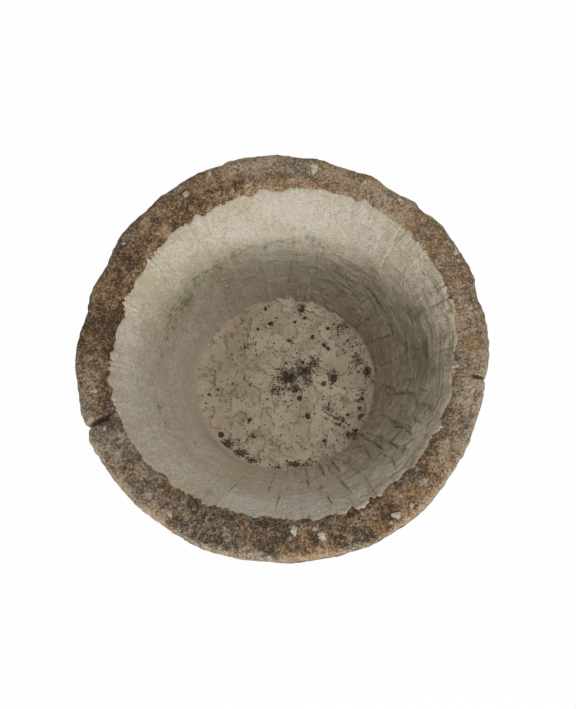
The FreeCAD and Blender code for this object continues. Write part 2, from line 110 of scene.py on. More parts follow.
# Where the lining starts: angle, distance in mm down the hollow from its mouth
LINING_EDGE = (
    (0, 8), (3, 5), (6, 9), (9.4, 5), (10.4, 1.5), (12, 0), (13.4, 1), (14.1, 3.6), (14.8, 1.6),
    (15.6, 1.0), (16.6, 2.6), (17.6, 5.0), (18.6, 7.5), (21, 2), (24, 1), (28, 4.5), (33, 1.5), (37, 3),
    (41, -0.5), (44, 1.5), (48, 0.5), (51, 4.5), (54, 1.5), (58, 2), (61, -2), (64, 6), (67, 2.5),
    (71, 7), (76, 4), (81, 8.5), (88, 9), (90, 16.5), (93, 16.5), (96, 8), (99, 12.5), (102, 19),
    (105, 13.5), (108, 15.5), (111, 19), (114, 18), (117, 23), (121, 19), (124, 19), (127, 21.5),
    (130, 17), (133, 16.5), (136, 22), (142, 21), (145, 21), (148, 25), (151, 26), (154, 21.5), (157, 26),
    (160, 19.5), (163, 20), (166, 28), (169, 28), (172, 22.5), (175, 18.5), (177, 23), (180, 17),
    (183, 12), (187, 12), (190, 5.5), (192, 1), (195, 11), (198, 2), (202, 5), (205, 7), (208, 5),
    (211, 4), (214, 5), (218, 5), (222, 3), (226, 5), (229, 17), (232, 7), (236, 5), (239, 12), (243, 13),
    (244.5, 5), (247, 10), (250, 15.5), (252, 20), (255, 15), (257, 18), (261, 11.5), (264, 23),
    (267, 17), (270, 15.5), (274, 11), (277, 10.5), (280, 1.5), (285, 6), (289, 0), (294, 1.5), (297, -3),
    (299, 5), (302, -2), (306, 10), (309, 2), (313, 9), (316, 1), (319, 5), (323, 7), (326, 10), (330, 6),
    (334, 8), (337, 14), (340, 8), (343, 7), (346, 15), (349, 10), (352, 11), (357, 13),
)

# Trowel laps on the lining: step in mm, then angle and height in mm of points from top to foot
TROWEL_LAPS = (
    (1.6, (-55, 340), (-54.3, 318)),
    (2.0, (-48, 336), (-45.6, 302), (-46.5, 286)),
    (1.6, (-50, 268), (-47, 224)),
    (3.0, (-44, 278), (-41.5, 215), (-39.3, 172), (-36, 130), (-35, 118)),
    (2.2, (-40.6, 328), (-40, 270), (-38, 232)),
    (2.8, (-34.4, 318), (-32.5, 290), (-31.9, 260), (-29.2, 240)),
    (1.8, (-29.4, 341), (-29, 312), (-27.3, 294)),
    (2.0, (-30, 218), (-23.8, 192), (-20, 178)),
    (1.8, (-23, 272), (-21.9, 240)),
    (2.2, (-29.4, 180), (-24, 150), (-20, 128)),
    (1.8, (-16.2, 308), (-15, 284)),
    (2.6, (-16.2, 272), (-13.8, 222), (-10, 202), (-6.2, 168)),
    (1.8, (-13, 155), (-7.5, 125)),
    (1.4, (-10, 272), (-8.5, 240)),
    (1.4, (-2.5, 284), (-1.2, 234)),
    (1.8, (2.5, 284), (5, 257), (10, 235), (15, 220)),
    (1.8, (4.4, 222), (5, 182), (8, 148)),
    (2.2, (16.2, 222), (20, 187), (25, 138)),
    (1.6, (32.5, 220), (34.4, 182), (37.5, 130)),
    (1.8, (40.6, 220), (42.5, 192), (50, 138)),
    (2.0, (44.2, 344), (44.8, 327), (43.5, 302), (43.3, 274)),
    (1.6, (50.2, 322), (49.4, 300), (50.8, 282)),
    (2.0, (59.4, 345), (60.3, 323)),
    (1.0, (73, 347), (73.4, 333)),
    (2.0, (71.2, 254), (72, 225)),
    (2.4, (76.2, 180), (75.4, 155), (74.4, 118)),
    (2.0, (86.8, 229), (87.5, 192), (88.8, 155)),
    (1.8, (100.6, 165), (100, 125)),
    (0.8, (102.5, 324), (103.8, 290)),
    (2.0, (53.8, 208), (54.5, 184)),
    (2.4, (121.9, 232), (123, 182), (123.8, 155)),
    (2.6, (125.6, 247), (126.5, 200), (127.5, 145)),
    (2.6, (147.4, 254), (148.1, 232), (146.8, 219)),
    (1.9, (145.6, 182), (145, 118)),
    (0.9, (141.9, 279), (141.9, 258)),
    (0.9, (187.4, 282), (187.4, 262)),
    (0.8, (168.8, 199), (168.8, 176)),
    (2.0, (250, 309), (250.6, 225)),
    (2.2, (263.8, 277), (265, 222), (264.4, 150)),
    (2.1, (268, 322), (268.8, 268)),
    (3.0, (280.6, 274), (281.6, 222), (282.5, 140)),
    (2.2, (286.9, 339), (287.2, 305)),
    (3.2, (289.3, 243), (290.6, 165), (291, 120)),
    (2.8, (294.4, 335), (294.4, 280)),
    (3.0, (296.2, 250), (297, 190), (298, 140)),
    (2.2, (276, 214), (276, 150)),
    (2.0, (270.5, 200), (271.5, 135)),
)

# Tool marks on the lining: angle, trowel strokes near the mouth and near the floor, brush lines near both
TOOLED = (
    (0, 0.80, 0.85, 1.0, 0.8), (25, 0.60, 0.85, 0.85, 0.9), (45, 0.35, 0.85, 0.35, 0.9),
    (70, 0.12, 0.9, 0.06, 0.8), (110, 0.08, 0.85, 0.04, 0.6), (150, 0.08, 0.5, 0.04, 0.25),
    (190, 0.08, 0.2, 0.04, 0.12), (235, 0.12, 0.18, 0.06, 0.05), (265, 0.3, 0.55, 0.3, 0.3),
    (290, 0.55, 0.80, 0.5, 0.4), (325, 0.85, 1.0, 0.9, 0.75),
)

# Green growth, damp stains that are partly painted shade, and pale patches that are mostly painted light on
# the lining, each row an angle, a height in mm, half width and half height in mm and a strength
ALGAE = (
    (16.5, 300, 9, 14, 1.0), (22, 274, 12, 7, 0.6), (31, 272, 12, 6, 0.5), (44, 269, 18, 5, 0.6),
    (63, 276, 14, 4, 0.5), (77, 272, 15, 9, 0.9), (85, 261, 8, 10, 0.8), (92, 262, 12, 6, 0.7),
    (99, 256, 8, 9, 0.7), (110, 259, 16, 9, 0.7), (117, 254, 16, 11, 0.8), (125, 247, 22, 14, 0.75),
    (136, 256, 8, 9, 0.8), (146, 244, 22, 15, 0.9), (159, 246, 18, 11, 0.6), (168, 242, 16, 12, 0.5),
    (176, 253, 16, 10, 0.5), (183, 234, 14, 8, 0.45), (187, 271, 5, 9, 0.8), (191, 274, 6, 7, 0.7),
    (200, 271, 6, 6, 0.6), (207, 273, 18, 6, 0.45), (216, 275, 8, 6, 0.5), (226, 265, 8, 9, 0.5),
    (222.5, 232, 7, 3, 1.0), (128, 250, 70, 20, 0.55), (152, 246, 60, 22, 0.60), (95, 258, 60, 14, 0.45),
    (75, 266, 40, 12, 0.5), (180, 255, 60, 18, 0.45), (205, 270, 50, 14, 0.4), (243, 274, 14, 8, 0.4),
    (250, 262, 24, 12, 0.3), (273, 232, 6, 6, 0.5), (285, 282, 24, 14, 0.35), (-30, 276, 16, 10, 0.3),
)
# Damp stains and painted shade: the broad patches darken the wall where it lies in shade, most of all at the
# right
DAMP_AND_SHADE = (
    (-2, 288, 105, 42, 0.78), (-45, 262, 60, 42, 0.42), (2, 222, 60, 26, 0.28), (45, 270, 40, 14, 0.24),
    (16.5, 298, 7, 8, 0.8), (42, 238, 62, 32, 0.36), (225, 156, 46, 15, 0.5), (244, 327, 4, 5, 0.9),
    (47.5, 245, 4, 3, 1.0), (49.5, 230, 7, 3, 0.8), (56, 188, 14, 5, 0.6), (10, 158, 12, 9, 0.45),
    (76, 172, 9, 7, 0.6), (146, 236, 7, 10, 0.7), (123, 200, 12, 26, 0.3), (-40, 178, 18, 40, 0.15),
    (-12, 205, 18, 30, 0.15),
)
# Pale patches, most of them painted light: paler where the wall stands in the lamp's light, and on the lower
# wall to lift its shade
CHALK_AND_LIGHT = (
    (75, 316, 150, 36, 1.0), (48, 318, 50, 28, 0.6), (270, 324, 95, 26, 1.1), (90, 275, 70, 20, 0.8),
    (190, 322, 120, 28, 0.5), (228, 322, 80, 24, 0.45), (128, 318, 60, 16, 0.35), (-14, 312, 9, 9, 0.9),
    (17, 341, 10, 8, 0.9), (-52, 322, 30, 16, 0.4), (28, 229, 16, 5, 0.45), (180, 165, 120, 45, 0.8),
    (140, 160, 100, 40, 0.6), (225, 200, 70, 40, 0.5), (270, 165, 80, 35, 0.5), (0, 155, 70, 28, 0.9),
    (-45, 155, 70, 28, 1.0), (90, 185, 110, 60, 1.0), (45, 165, 60, 40, 0.7), (180, 268, 60, 22, 0.5),
)

# Single pits in the floor: place in mm, half width and depth in mm
FLOOR_PITS = (
    (50, -57, 4.0, 3), (-55, 60, 3.2, 2.5), (33, 122, 3.5, 2.5), (15, 115, 3, 2.5), (47, 86, 3, 2.5),
    (68, 71, 3.5, 3), (-64, -3, 3, 3), (-122, -11, 3, 2.5), (71, -47, 3, 3), (109, -59, 3, 2.5),
    (130, -48, 3.2, 3), (-56, -97, 3, 2), (-38, 140, 4, 2.5), (-18, 58, 3, 2), (122, -88, 4, 3),
    (-50, 100, 3.4, 2.5), (6, 78, 4, 3), (-106, -2, 2.6, 2), (40, -58, 4.5, 3), (67, 66, 2.6, 2),
    (100, -70, 3, 2.5), (94, -77, 2.6, 2), (88, -75, 3, 2.2), (118, 48, 3.4, 2.6), (66, -106, 3, 3),
    (69, -113, 2.4, 2.4), (-66, -68, 6, 1.6), (-60, -95, 8, 1.4), (30, 36, 3, 2), (104, -12, 3, 2.2),
)

# Rough gritty patches in the floor: place in mm, half width along X and Y in mm, strength
GRIT_PATCHES = (
    (3, 10, 20, 16, 1.0), (30, 22, 20, 14, 0.85), (48, 34, 14, 12, 0.66), (-16, -14, 16, 13, 0.68),
    (-26, 0, 11, 9, 0.45), (36, 4, 15, 11, 0.68), (14, -12, 17, 11, 0.75), (-8, 24, 11, 8, 0.55),
    (20, 36, 16, 8, 0.55), (83, 8, 8, 12, 0.9), (78, -50, 14, 12, 0.5), (143, 20, 7, 10, 0.9),
    (100, 105, 20, 10, 0.6), (118, 70, 16, 10, 0.45), (-104, -112, 16, 9, 0.9), (-80, -128, 16, 8, 0.9),
    (-60, -140, 14, 7, 0.7), (14, -148, 12, 6, 0.9), (-18, -152, 16, 5, 0.5), (118, -95, 16, 10, 0.6),
    (-68, 72, 14, 12, 0.35), (27, 140, 8, 10, 0.7), (132, -30, 8, 16, 0.5), (95, -70, 14, 10, 0.4),
    (128, 40, 9, 16, 0.6), (40, -146, 12, 5, 0.6),
)

# Brown stained hollows in the floor: place in mm, half width along X and Y in mm, strength
FLOOR_STAINS = (
    (-74, -63, 14, 10, 0.60), (-51, -94, 22, 9, 0.65), (-15, -108, 20, 8, 0.30), (19, -67, 16, 11, 0.40),
    (-90, -11, 26, 14, 0.40), (-54, 30, 9, 9, 0.50), (-101, 24, 12, 20, 0.30), (78, 39, 9, 9, 0.50),
    (94, 21, 9, 12, 0.35), (107, -36, 9, 9, 0.35), (75, -40, 14, 10, 0.30), (-79, 128, 40, 10, 0.35),
    (-122, 42, 9, 20, 0.30), (120, 85, 18, 10, 0.35), (98, -95, 22, 12, 0.30),
)

# Small blue green specks on the rim: place and half width in mm
BLUE_SPECKS = ((275.7, -119.6, 5.5), (307, 0, 3.2), (309, -5, 2.4))

# Pebbles: place as shares of the floor's radius, size name, turn in degrees
BROWN_PEBBLES = (
    (0.42, -0.02, "large", 80), (-0.88, -0.14, "large", 10), (0.84, -0.40, "large", 30),
    (0.69, -0.60, "middle", 60), (-0.22, -0.20, "middle", 35), (0.48, 0.40, "middle", 140),
    (0.73, 0.41, "middle", 160), (0.03, 0.50, "small", 0),
)
DARK_PEBBLES = (
    (0.15, -0.18, "middle", 60), (0.24, -0.39, "middle", 120), (-0.73, -0.60, "large", 130),
    (-0.33, 0.64, "small", 100), (-0.18, 0.71, "middle", 20), (0.19, 0.88, "middle", 70),
    (0.48, 0.64, "small", 10), (0.55, 0.04, "middle", 110), (0.91, 0.11, "middle", 75),
)

# Pale lime crusts on the rim: angle, radius, half length and half width in mm, turn in degrees
RIM_CRUSTS = (
    (80.1, 306, 11, 6.5, 80), (121.3, 302, 7, 5, 20), (273.7, 287, 9.5, 5, 84), (281.4, 301, 7, 6, -20),
    (302.6, 315, 7, 6, 30), (300.4, 320, 3.4, 3, 0), (307.5, 316, 4, 3.4, 20), (194.2, 298, 6, 3.6, 110),
    (237.6, 310, 6, 4, 30), (28.6, 317, 8, 5, 50), (26.0, 312, 4, 3, 110), (112, 318, 5, 3, 110),
    (104, 316, 4, 3, 40), (64, 306, 6, 2.6, 100), (56, 300, 7, 2.2, 60), (52, 310, 5, 3, 20),
    (146, 308, 3.6, 2.6, 10), (206, 300, 3.6, 2.6, 60),
)

# Crusts down the flank: angle, height in mm, half length and half width in mm, turn in degrees
FLANK_CRUSTS = (
    (20, 262, 14, 9, 30), (50, 130, 12, 9, 70), (84, 220, 16, 10, 100), (112, 90, 12, 8, 20),
    (138, 280, 13, 8, 60), (165, 170, 15, 10, 110), (188, 60, 10, 8, 40), (214, 250, 14, 9, 80),
    (236, 150, 12, 9, 10), (258, 288, 14, 8, 60), (282, 200, 15, 11, 120), (305, 96, 12, 8, 30),
    (328, 240, 13, 9, 90), (346, 150, 14, 9, 50), (246, 62, 10, 7, 0),
)


# Sizes and colours that a user would change
def quantity(name, description, default, **kind):
    """A number, with its unit or subtype where it has one."""
    return FloatProperty(name=name, description=description, default=default, **kind)


def length(name, description, default):
    """A length in metres."""
    return quantity(name, description, default, precision=4, unit="LENGTH")


def turn(name, description, default):
    """An angle, given in degrees."""
    return quantity(name, description, math.radians(default), subtype="ANGLE")


def colour(name, description, default):
    """A linear colour."""
    return FloatVectorProperty(
        name=name, description=description, default=default, subtype="COLOR", min=0, max=1
    )


class StoneSettings(bpy.types.PropertyGroup):
    """The two hewn stones."""

    height: length("Height", "Height of the rim above the ground", CAD_BOX[1].z)
    rim_radius: length("Rim radius", "Mean outer radius at the rim", 0.325)
    foot_radius: length("Foot radius", "Mean outer radius at the ground", 0.270)
    belly_height: length("Belly height", "Height at which the flank swells most", 0.190)
    belly_swell: length("Belly swell", "How far the flank stands out from a straight taper", 0.010)
    foot_share: quantity("Foot share", "Share of the hewn swells left at the foot", 0.7)
    dressing_depth: length("Dressing depth", "Height of the lumps that the pick left on the flank", 0.0036)
    arris_drop: length("Arris drop", "Height of the worn outer edge of the rim", 0.014)
    mouth_radius: length("Mouth radius", "Radius of the worn mouth at the rim's top", 0.288)
    wear_run: length("Wear run", "Width of the worn edge of the mouth", 0.016)
    wear_drop: length("Wear drop", "Height of the worn edge of the mouth", 0.008)
    hollow_radius: length("Hollow floor radius", "Radius of the hollow at its floor", 0.161)
    base_height: length("Base height", "Height of the hollow's floor", 0.090)
    hollow_curve: length("Hollow curve", "Radius of the curve of the hollow's wall", 0.640)
    left_angle: turn("Left joint", "Direction of the left joint", 203.5)
    right_angle: turn("Right joint", "Direction of the right joint", -10.4)
    left_width: length("Left joint width", "Gap between the stones at the left", 0.007)
    right_width: length("Right joint width", "Gap between the stones at the right", 0.004)
    lump_height: length("Lump height", "Height of the broad lumps", 0.0045)
    lump_size: length("Lump size", "Spread of the broad lumps", 0.060)
    grain_height: length("Grain height", "Height of the coarse grain", 0.0032)
    grain_size: length("Grain size", "Spread of the coarse grain", 0.0075)
    pit_depth: length("Pit depth", "Depth of the weathered pits", 0.0016)
    pit_size: length("Pit size", "Distance between the weathered pits", 0.013)
    furrow_depth: length("Furrow depth", "Depth of the chisel furrows on the flank", 0.0021)
    furrow_pitch: length("Furrow pitch", "Distance between the chisel furrows", 0.011)
    brown: colour("Brown", "Main colour of the stone", (0.220, 0.150, 0.092))
    tan: colour("Tan", "Colour of its lighter grain", (0.560, 0.430, 0.292))
    grey: colour("Grey", "Colour of its greyer patches", (0.215, 0.170, 0.122))
    # The dark colour also paints the shade in the stone's hollows
    dark: colour("Dark", "Colour of its dark grain", (0.066, 0.045, 0.027))
    rust: colour("Rust", "Colour of its orange brown patches", (0.285, 0.160, 0.070))
    ochre: colour("Ochre", "Colour of its round growths", (0.400, 0.245, 0.100))
    pale: colour("Pale", "Colour of its pale grain", (0.620, 0.520, 0.390))
    bleached: colour("Bleached", "Colour of the worn pale stretch of rim", (0.390, 0.300, 0.212))
    blue: colour("Blue", "Colour of the small blue green specks on the rim", (0.120, 0.170, 0.175))


class LiningSettings(bpy.types.PropertyGroup):
    """The trowelled lining of the wall."""

    thickness: length("Thickness", "Thickness of the coat on the wall", 0.010)
    edge_thickness: length("Edge thickness", "Thickness of the coat just inside its torn edge", 0.0032)
    panel_width: length("Panel width", "Usual width of a trowel stroke", 0.027)
    panel_height: length("Panel height", "Usual height of a trowel stroke", 0.070)
    panel_step: length("Panel step", "Step from one stroke to the next", 0.0040)
    ripple_height: length("Ripple height", "Height of the brush ripples", 0.0065)
    dimple_height: length("Dimple height", "Height of the small unevenness", 0.0028)
    plaster: colour("Plaster", "Main colour of the coat", (0.618, 0.522, 0.374))
    # The chalk colour also paints light on the pale patches and at the foot
    chalk: colour("Chalk", "Colour of its palest patches", (0.738, 0.672, 0.566))
    # The sandy colour also paints the warm shade of the wall towards the floor
    sandy: colour("Sandy", "Colour that it takes on towards the floor", (0.560, 0.448, 0.288))
    # The damp colour also paints shade: on the broad damp patches of the shaded wall, in the tool marks'
    # hollows and in the brush lines' grooves
    damp: colour("Damp", "Colour of its damp stains", (0.240, 0.186, 0.108))
    algae: colour("Algae", "Colour of the green growth", (0.285, 0.272, 0.135))
    # Painted shade in the creases of the trowel laps and along the strokes' far ends
    crease_shade: colour("Dirt", "Colour of the dirt in its creases", (0.105, 0.080, 0.048))


class FloorSettings(bpy.types.PropertyGroup):
    """The sandy floor and the grit on it."""

    height: length("Height", "Height of the floor's surface above the ground", 0.120)
    radius: length("Radius", "Radius of the floor at its surface", 0.157)
    thickness: length("Thickness", "Depth of the screed", 0.029)
    wave_height: length("Wave height", "Height of the broad unevenness", 0.0085)
    crumb_height: length("Crumb height", "Height of the crumbly patches", 0.0034)
    flake_height: length("Flake height", "Height of the flaked skin over the hollows beside it", 0.0030)
    climb: length("Climb", "How far the floor usually runs up the wall", 0.0024)
    pore_depth: length("Pore depth", "Depth of the small pores", 0.0022)
    grains: IntProperty(
        name="Grains", description="Grit grains to a square metre where grit is thickest", default=650000
    )
    grain_size: length("Grain size", "Radius of the largest grit grains", 0.0019)
    sand: colour("Sand", "Main colour of the floor", (0.545, 0.444, 0.320))
    lime: colour("Lime", "Colour of its pale patches", (0.640, 0.548, 0.415))
    stain: colour("Stain", "Colour of its brown stains", (0.290, 0.222, 0.148))
    # Also the painted shade in the floor's pits, pores and gaps
    pit: colour("Pit", "Colour inside its pits", (0.042, 0.032, 0.022))


class PebbleSettings(bpy.types.PropertyGroup):
    """The pebbles bedded in the floor."""

    large: length("Large", "Length of the large pebbles", 0.014)
    middle: length("Middle", "Length of the middling pebbles", 0.0105)
    small: length("Small", "Length of the small pebbles", 0.008)
    stand: length("Stand", "How far a pebble stands above the floor", 0.003)
    lumpiness: quantity("Lumpiness", "Unevenness as a share of a pebble's size", 0.16)
    brown: colour("Brown", "Colour of the brown pebbles", (0.080, 0.050, 0.029))
    dark: colour("Dark", "Colour of the dark pebbles", (0.030, 0.024, 0.018))


class CrustSettings(bpy.types.PropertyGroup):
    """The lime crusts on the stones."""

    thickness: length("Thickness", "Height of a crust above the stone", 0.0008)
    chalk: colour("Chalk", "Main colour of the crusts", (0.580, 0.530, 0.440))
    shade: colour("Shade", "Colour of their thin edges", (0.410, 0.355, 0.275))


class StageSettings(bpy.types.PropertyGroup):
    """Camera, lights and ground."""

    aim: FloatVectorProperty(
        name="Aim", description="Point that the camera looks at", subtype="XYZ",
        default=(0.00982, -0.01713, 0.352),
    )
    distance: length("Distance", "Distance of the camera from that point", 1.5)
    azimuth: turn("Azimuth", "Direction of the camera, from the front towards the right", 5.63)
    elevation: turn("Elevation", "Height of the camera as an angle", 73.23)
    roll: turn("Roll", "Turn of the camera about its line of sight", -5.88)
    lens: quantity("Lens", "Focal length on a 36 mm film", 49.2, unit="CAMERA")
    dome: quantity("Dome", "Strength of the even light from all round", 0.25)
    low: quantity("Low lamp", "Power of the low soft box in front", 56, subtype="POWER")
    high: quantity("High lamp", "Power of the high soft box at the right", 33, subtype="POWER")
    paper: colour("Paper", "Colour of the ground", (0.90, 0.90, 0.90))


class PlanterSettings(bpy.types.PropertyGroup):
    """All settings of the planter."""

    stone: PointerProperty(type=StoneSettings)
    lining: PointerProperty(type=LiningSettings)
    floor: PointerProperty(type=FloorSettings)
    pebbles: PointerProperty(type=PebbleSettings)
    crusts: PointerProperty(type=CrustSettings)
    stage: PointerProperty(type=StageSettings)


# Node trees written as expressions
class Field:
    """A node's socket as a value: sums and products of fields and numbers add Math nodes."""

    def __init__(self, sketch, socket):
        self.sketch = sketch
        self.socket = socket

    def output(self, name):
        """Another output of the same node."""
        return Field(self.sketch, self.socket.node.outputs[name])

    def __add__(self, other):
        return self.sketch.maths("ADD", self, other)

    def __radd__(self, other):
        return self.sketch.maths("ADD", other, self)

    def __sub__(self, other):
        return self.sketch.maths("SUBTRACT", self, other)

    def __rsub__(self, other):
        return self.sketch.maths("SUBTRACT", other, self)

    def __mul__(self, other):
        return self.sketch.maths("MULTIPLY", self, other)

    def __rmul__(self, other):
        return self.sketch.maths("MULTIPLY", other, self)

    def __truediv__(self, other):
        return self.sketch.maths("DIVIDE", self, other)

    def __rtruediv__(self, other):
        return self.sketch.maths("DIVIDE", other, self)

    def __pow__(self, other):
        return self.sketch.maths("POWER", self, other)


class Sketch:
    """Adds nodes to one tree."""

    def __init__(self, tree):
        self.tree = tree

    def add(self, kind, sockets=None, output=0, **settings):
        """A node of a type with its settings, then the values or links of its sockets; gives one output."""
        node = self.tree.nodes.new(kind)
        for name, value in settings.items():
            setattr(node, name, value)
        for key, value in (sockets or {}).items():
            for part in value if isinstance(value, list) else [value]:
                if isinstance(part, Field):
                    self.tree.links.new(part.socket, node.inputs[key])
                else:
                    node.inputs[key].default_value = part
        return None if output is None else Field(self, node.outputs[output])

    def maths(self, operation, *values):
        """A Math node on fields and numbers."""
        return self.add("ShaderNodeMath", dict(enumerate(values)), operation=operation)

    def vectors(self, operation, *values, output=0):
        """A Vector Math node on vector fields."""
        return self.add("ShaderNodeVectorMath", dict(enumerate(values)), output, operation=operation)

    def scaled(self, vector, amount):
        """A vector field times a number field."""
        return self.add("ShaderNodeVectorMath", {0: vector, "Scale": amount}, operation="SCALE")

    def rise(self, value, low, high):
        """A smooth step from 0 at low to 1 at high; low may be the larger."""
        return self.add("ShaderNodeMapRange", {0: value, 1: low, 2: high}, interpolation_type="SMOOTHSTEP")

    def mix(self, share, first, second):
        """A colour between two: the second by its share."""
        sockets = {0: share, 6: as_colour(first), 7: as_colour(second)}
        return self.add("ShaderNodeMix", sockets, 2, data_type="RGBA")

    def part(self, vector, axis):
        """One of the three numbers of a vector field."""
        return self.add("ShaderNodeSeparateXYZ", {0: vector}, axis)

    def noise(self, place, size, detail, roughness, seed, output=0):
        """Cloudy noise about 0.5 whose clouds are about as wide as size."""
        sockets = {"Vector": place, "W": seed, "Scale": 1 / size, "Detail": detail, "Roughness": roughness}
        return self.add("ShaderNodeTexNoise", sockets, output, noise_dimensions="4D")

    def swing(self, place, size, detail, roughness, seed):
        """The same noise, about 0."""
        return self.noise(place, size, detail, roughness, seed) - 0.5

    def streaks(self, place, crowding, detail, roughness, seed):
        """Drawn out noise, about 0: how many clouds there are to a metre along each axis."""
        return self.swing(self.vectors("MULTIPLY", place, crowding), 1.0, detail, roughness, seed)

    def strayed(self, start, reach, place, size, detail, roughness, seed):
        """A place moved about by noise, by about half of reach at most."""
        drift = self.noise(place, size, detail, roughness, seed, output=1)
        drift = self.vectors("SUBTRACT", drift, (0.5, 0.5, 0.5))
        return self.vectors("ADD", start, self.scaled(drift, reach))

    def cells(self, place, size, output="Distance", randomness=1.0):
        """A field of random cells about as wide as size."""
        sockets = {"Vector": place, "Scale": 1 / size, "Randomness": randomness}
        return self.add("ShaderNodeTexVoronoi", sockets, output)

    def lottery(self, place, size):
        """One random number, from 0 to 1, for each cell about as wide as size."""
        return self.part(self.cells(place, size, "Color"), "X")

    def dots(self, place, size, chosen, width):
        """A soft round dot in each cell that the lottery chooses; both pairs are the ends of a rise."""
        return self.rise(self.cells(place, size), *width) * self.rise(self.lottery(place, size), *chosen)

    def seen(self):
        """1 for what the camera sees, also mirrored or through glass, and 0 for other light."""
        path = self.add("ShaderNodeLightPath", output="Is Camera Ray")
        straight = path + path.output("Is Glossy Ray") + path.output("Is Transmission Ray")
        return self.maths("MINIMUM", straight, 1.0)


def as_colour(value):
    """A field as it is, or three numbers as a colour with full alpha."""
    if isinstance(value, Field):
        return value
    return (*value, 1.0)


class Finish(Sketch):
    """One material under construction."""

    NOISE_TILT = (0.5, 0.7, 0.4)

    def __init__(self, name):
        self.material = bpy.data.materials.new(name)
        self.material.use_nodes = True
        super().__init__(self.material.node_tree)
        self.tree.nodes.clear()
        self.place = self.add("ShaderNodeTexCoord", output="Object")

    def tilted(self):
        """The place turned out of line with the grid of the noises."""
        sockets = {"Vector": self.place, "Rotation": self.NOISE_TILT}
        return self.add("ShaderNodeVectorRotate", sockets, rotation_type="EULER_XYZ")

    def attribute(self, name, output="Fac"):
        """A value that the mesh carries."""
        return self.add("ShaderNodeAttribute", output=output, attribute_name=name)

    def close(self, base, roughness, height=None, bump=0.002, metallic=0.0, specular=0.3):
        """Ends in a Principled shader, with bump from a height field, and gives the material."""
        sockets = {"Base Color": as_colour(base), "Roughness": roughness, "Metallic": metallic}
        sockets["Specular IOR Level"] = specular
        if height is not None:
            bumps = {"Height": height, "Distance": bump, "Strength": 1.0}
            sockets["Normal"] = self.add("ShaderNodeBump", bumps)
        shader = self.add("ShaderNodeBsdfPrincipled", sockets)
        self.add("ShaderNodeOutputMaterial", {"Surface": shader}, None)
        return self.material


class ShapeTree(Sketch):
    """One Geometry Nodes tree under construction, with named inputs."""

    def __init__(self, name, *labels):
        super().__init__(bpy.data.node_groups.new(name, "GeometryNodeTree"))
        face = self.tree.interface
        face.new_socket("Geometry", in_out="INPUT", socket_type="NodeSocketGeometry")
        for label in labels:
            face.new_socket(label, in_out="INPUT", socket_type="NodeSocketFloat")
        face.new_socket("finish", in_out="INPUT", socket_type="NodeSocketMaterial")
        face.new_socket("Geometry", in_out="OUTPUT", socket_type="NodeSocketGeometry")
        self.entry = self.add("NodeGroupInput")
        self.place = self.add("GeometryNodeInputPosition")

    def size(self, label):
        """A named input of the tree."""
        return self.entry.output(label)

    def attribute(self, name, kind="FLOAT"):
        """A value that the base mesh carries."""
        return self.add("GeometryNodeInputNamedAttribute", {"Name": name}, data_type=kind)

    def push(self, geometry, height):
        """Moves each point along its normal by a height field."""
        offset = self.scaled(self.add("GeometryNodeInputNormal"), height)
        return self.add("GeometryNodeSetPosition", {"Geometry": geometry, "Offset": offset})

    def store(self, geometry, name, value, domain="POINT"):
        """Keeps a number field on the mesh for its material."""
        sockets = {"Geometry": geometry, "Name": name, "Value": value}
        return self.add("GeometryNodeStoreNamedAttribute", sockets, data_type="FLOAT", domain=domain)

    def draw(self, low, high, seed):
        """A random number, or a random vector, for each point."""
        kind, first, output = ("FLOAT_VECTOR", 0, 0) if isinstance(low, tuple) else ("FLOAT", 2, 1)
        sockets = {first: low, first + 1: high, "Seed": seed}
        return self.add("FunctionNodeRandomValue", sockets, output, data_type=kind)

    def close(self, geometry):
        """Ends the tree in real faces with their finish, and gives the tree."""
        real = self.add("GeometryNodeRealizeInstances", {"Geometry": geometry})
        done = self.add("GeometryNodeSetMaterial", {"Geometry": real, "Material": self.size("finish")})
        self.add("NodeGroupOutput", {0: done}, None)
        return self.tree


def grow(name, base, tree, material, settings, seed=0.0):
    """Runs a tree on a base mesh, with its sizes from the settings, and gives a plain object of that name."""
    piece = bpy.data.objects.new(name, base)
    bpy.context.scene.collection.objects.link(piece)
    shaper = piece.modifiers.new("shape", "NODES")
    shaper.node_group = tree
    given = {"finish": material, "seed": seed}
    for item in tree.interface.items_tree:
        if item.in_out == "INPUT" and item.name != "Geometry":
            value = given[item.name] if item.name in given else float(getattr(settings, item.name))
            shaper[item.identifier] = value
    graph = bpy.context.evaluated_depsgraph_get()
    shaped = piece.evaluated_get(graph)
    done = bpy.data.meshes.new_from_object(shaped, preserve_all_data_layers=True, depsgraph=graph)
    if not done.polygons:
        raise RuntimeError(f"{name} has no faces")
    piece.modifiers.clear()
    piece.data = done
    done.name = name
    bpy.data.meshes.remove(base)
    return piece


def settle(piece, slot, *nodes):
    """Fastens a finished piece to the frame's body and hides the nodes that it stands for; the slot is not
    used.
    """
    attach(piece, BODY)
    if nodes:
        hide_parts(*nodes)


# Mesh helpers
def carry(mesh, **attributes):
    """Gives each point of a mesh its own number or vector under each name."""
    for label, values in attributes.items():
        rows = np.asarray(values, np.float32).reshape(len(mesh.vertices), -1)
        kind, key = ("FLOAT", "value") if rows.shape[1] == 1 else ("FLOAT_VECTOR", "vector")
        mesh.attributes.new(label, kind, "POINT").data.foreach_set(key, rows.ravel())


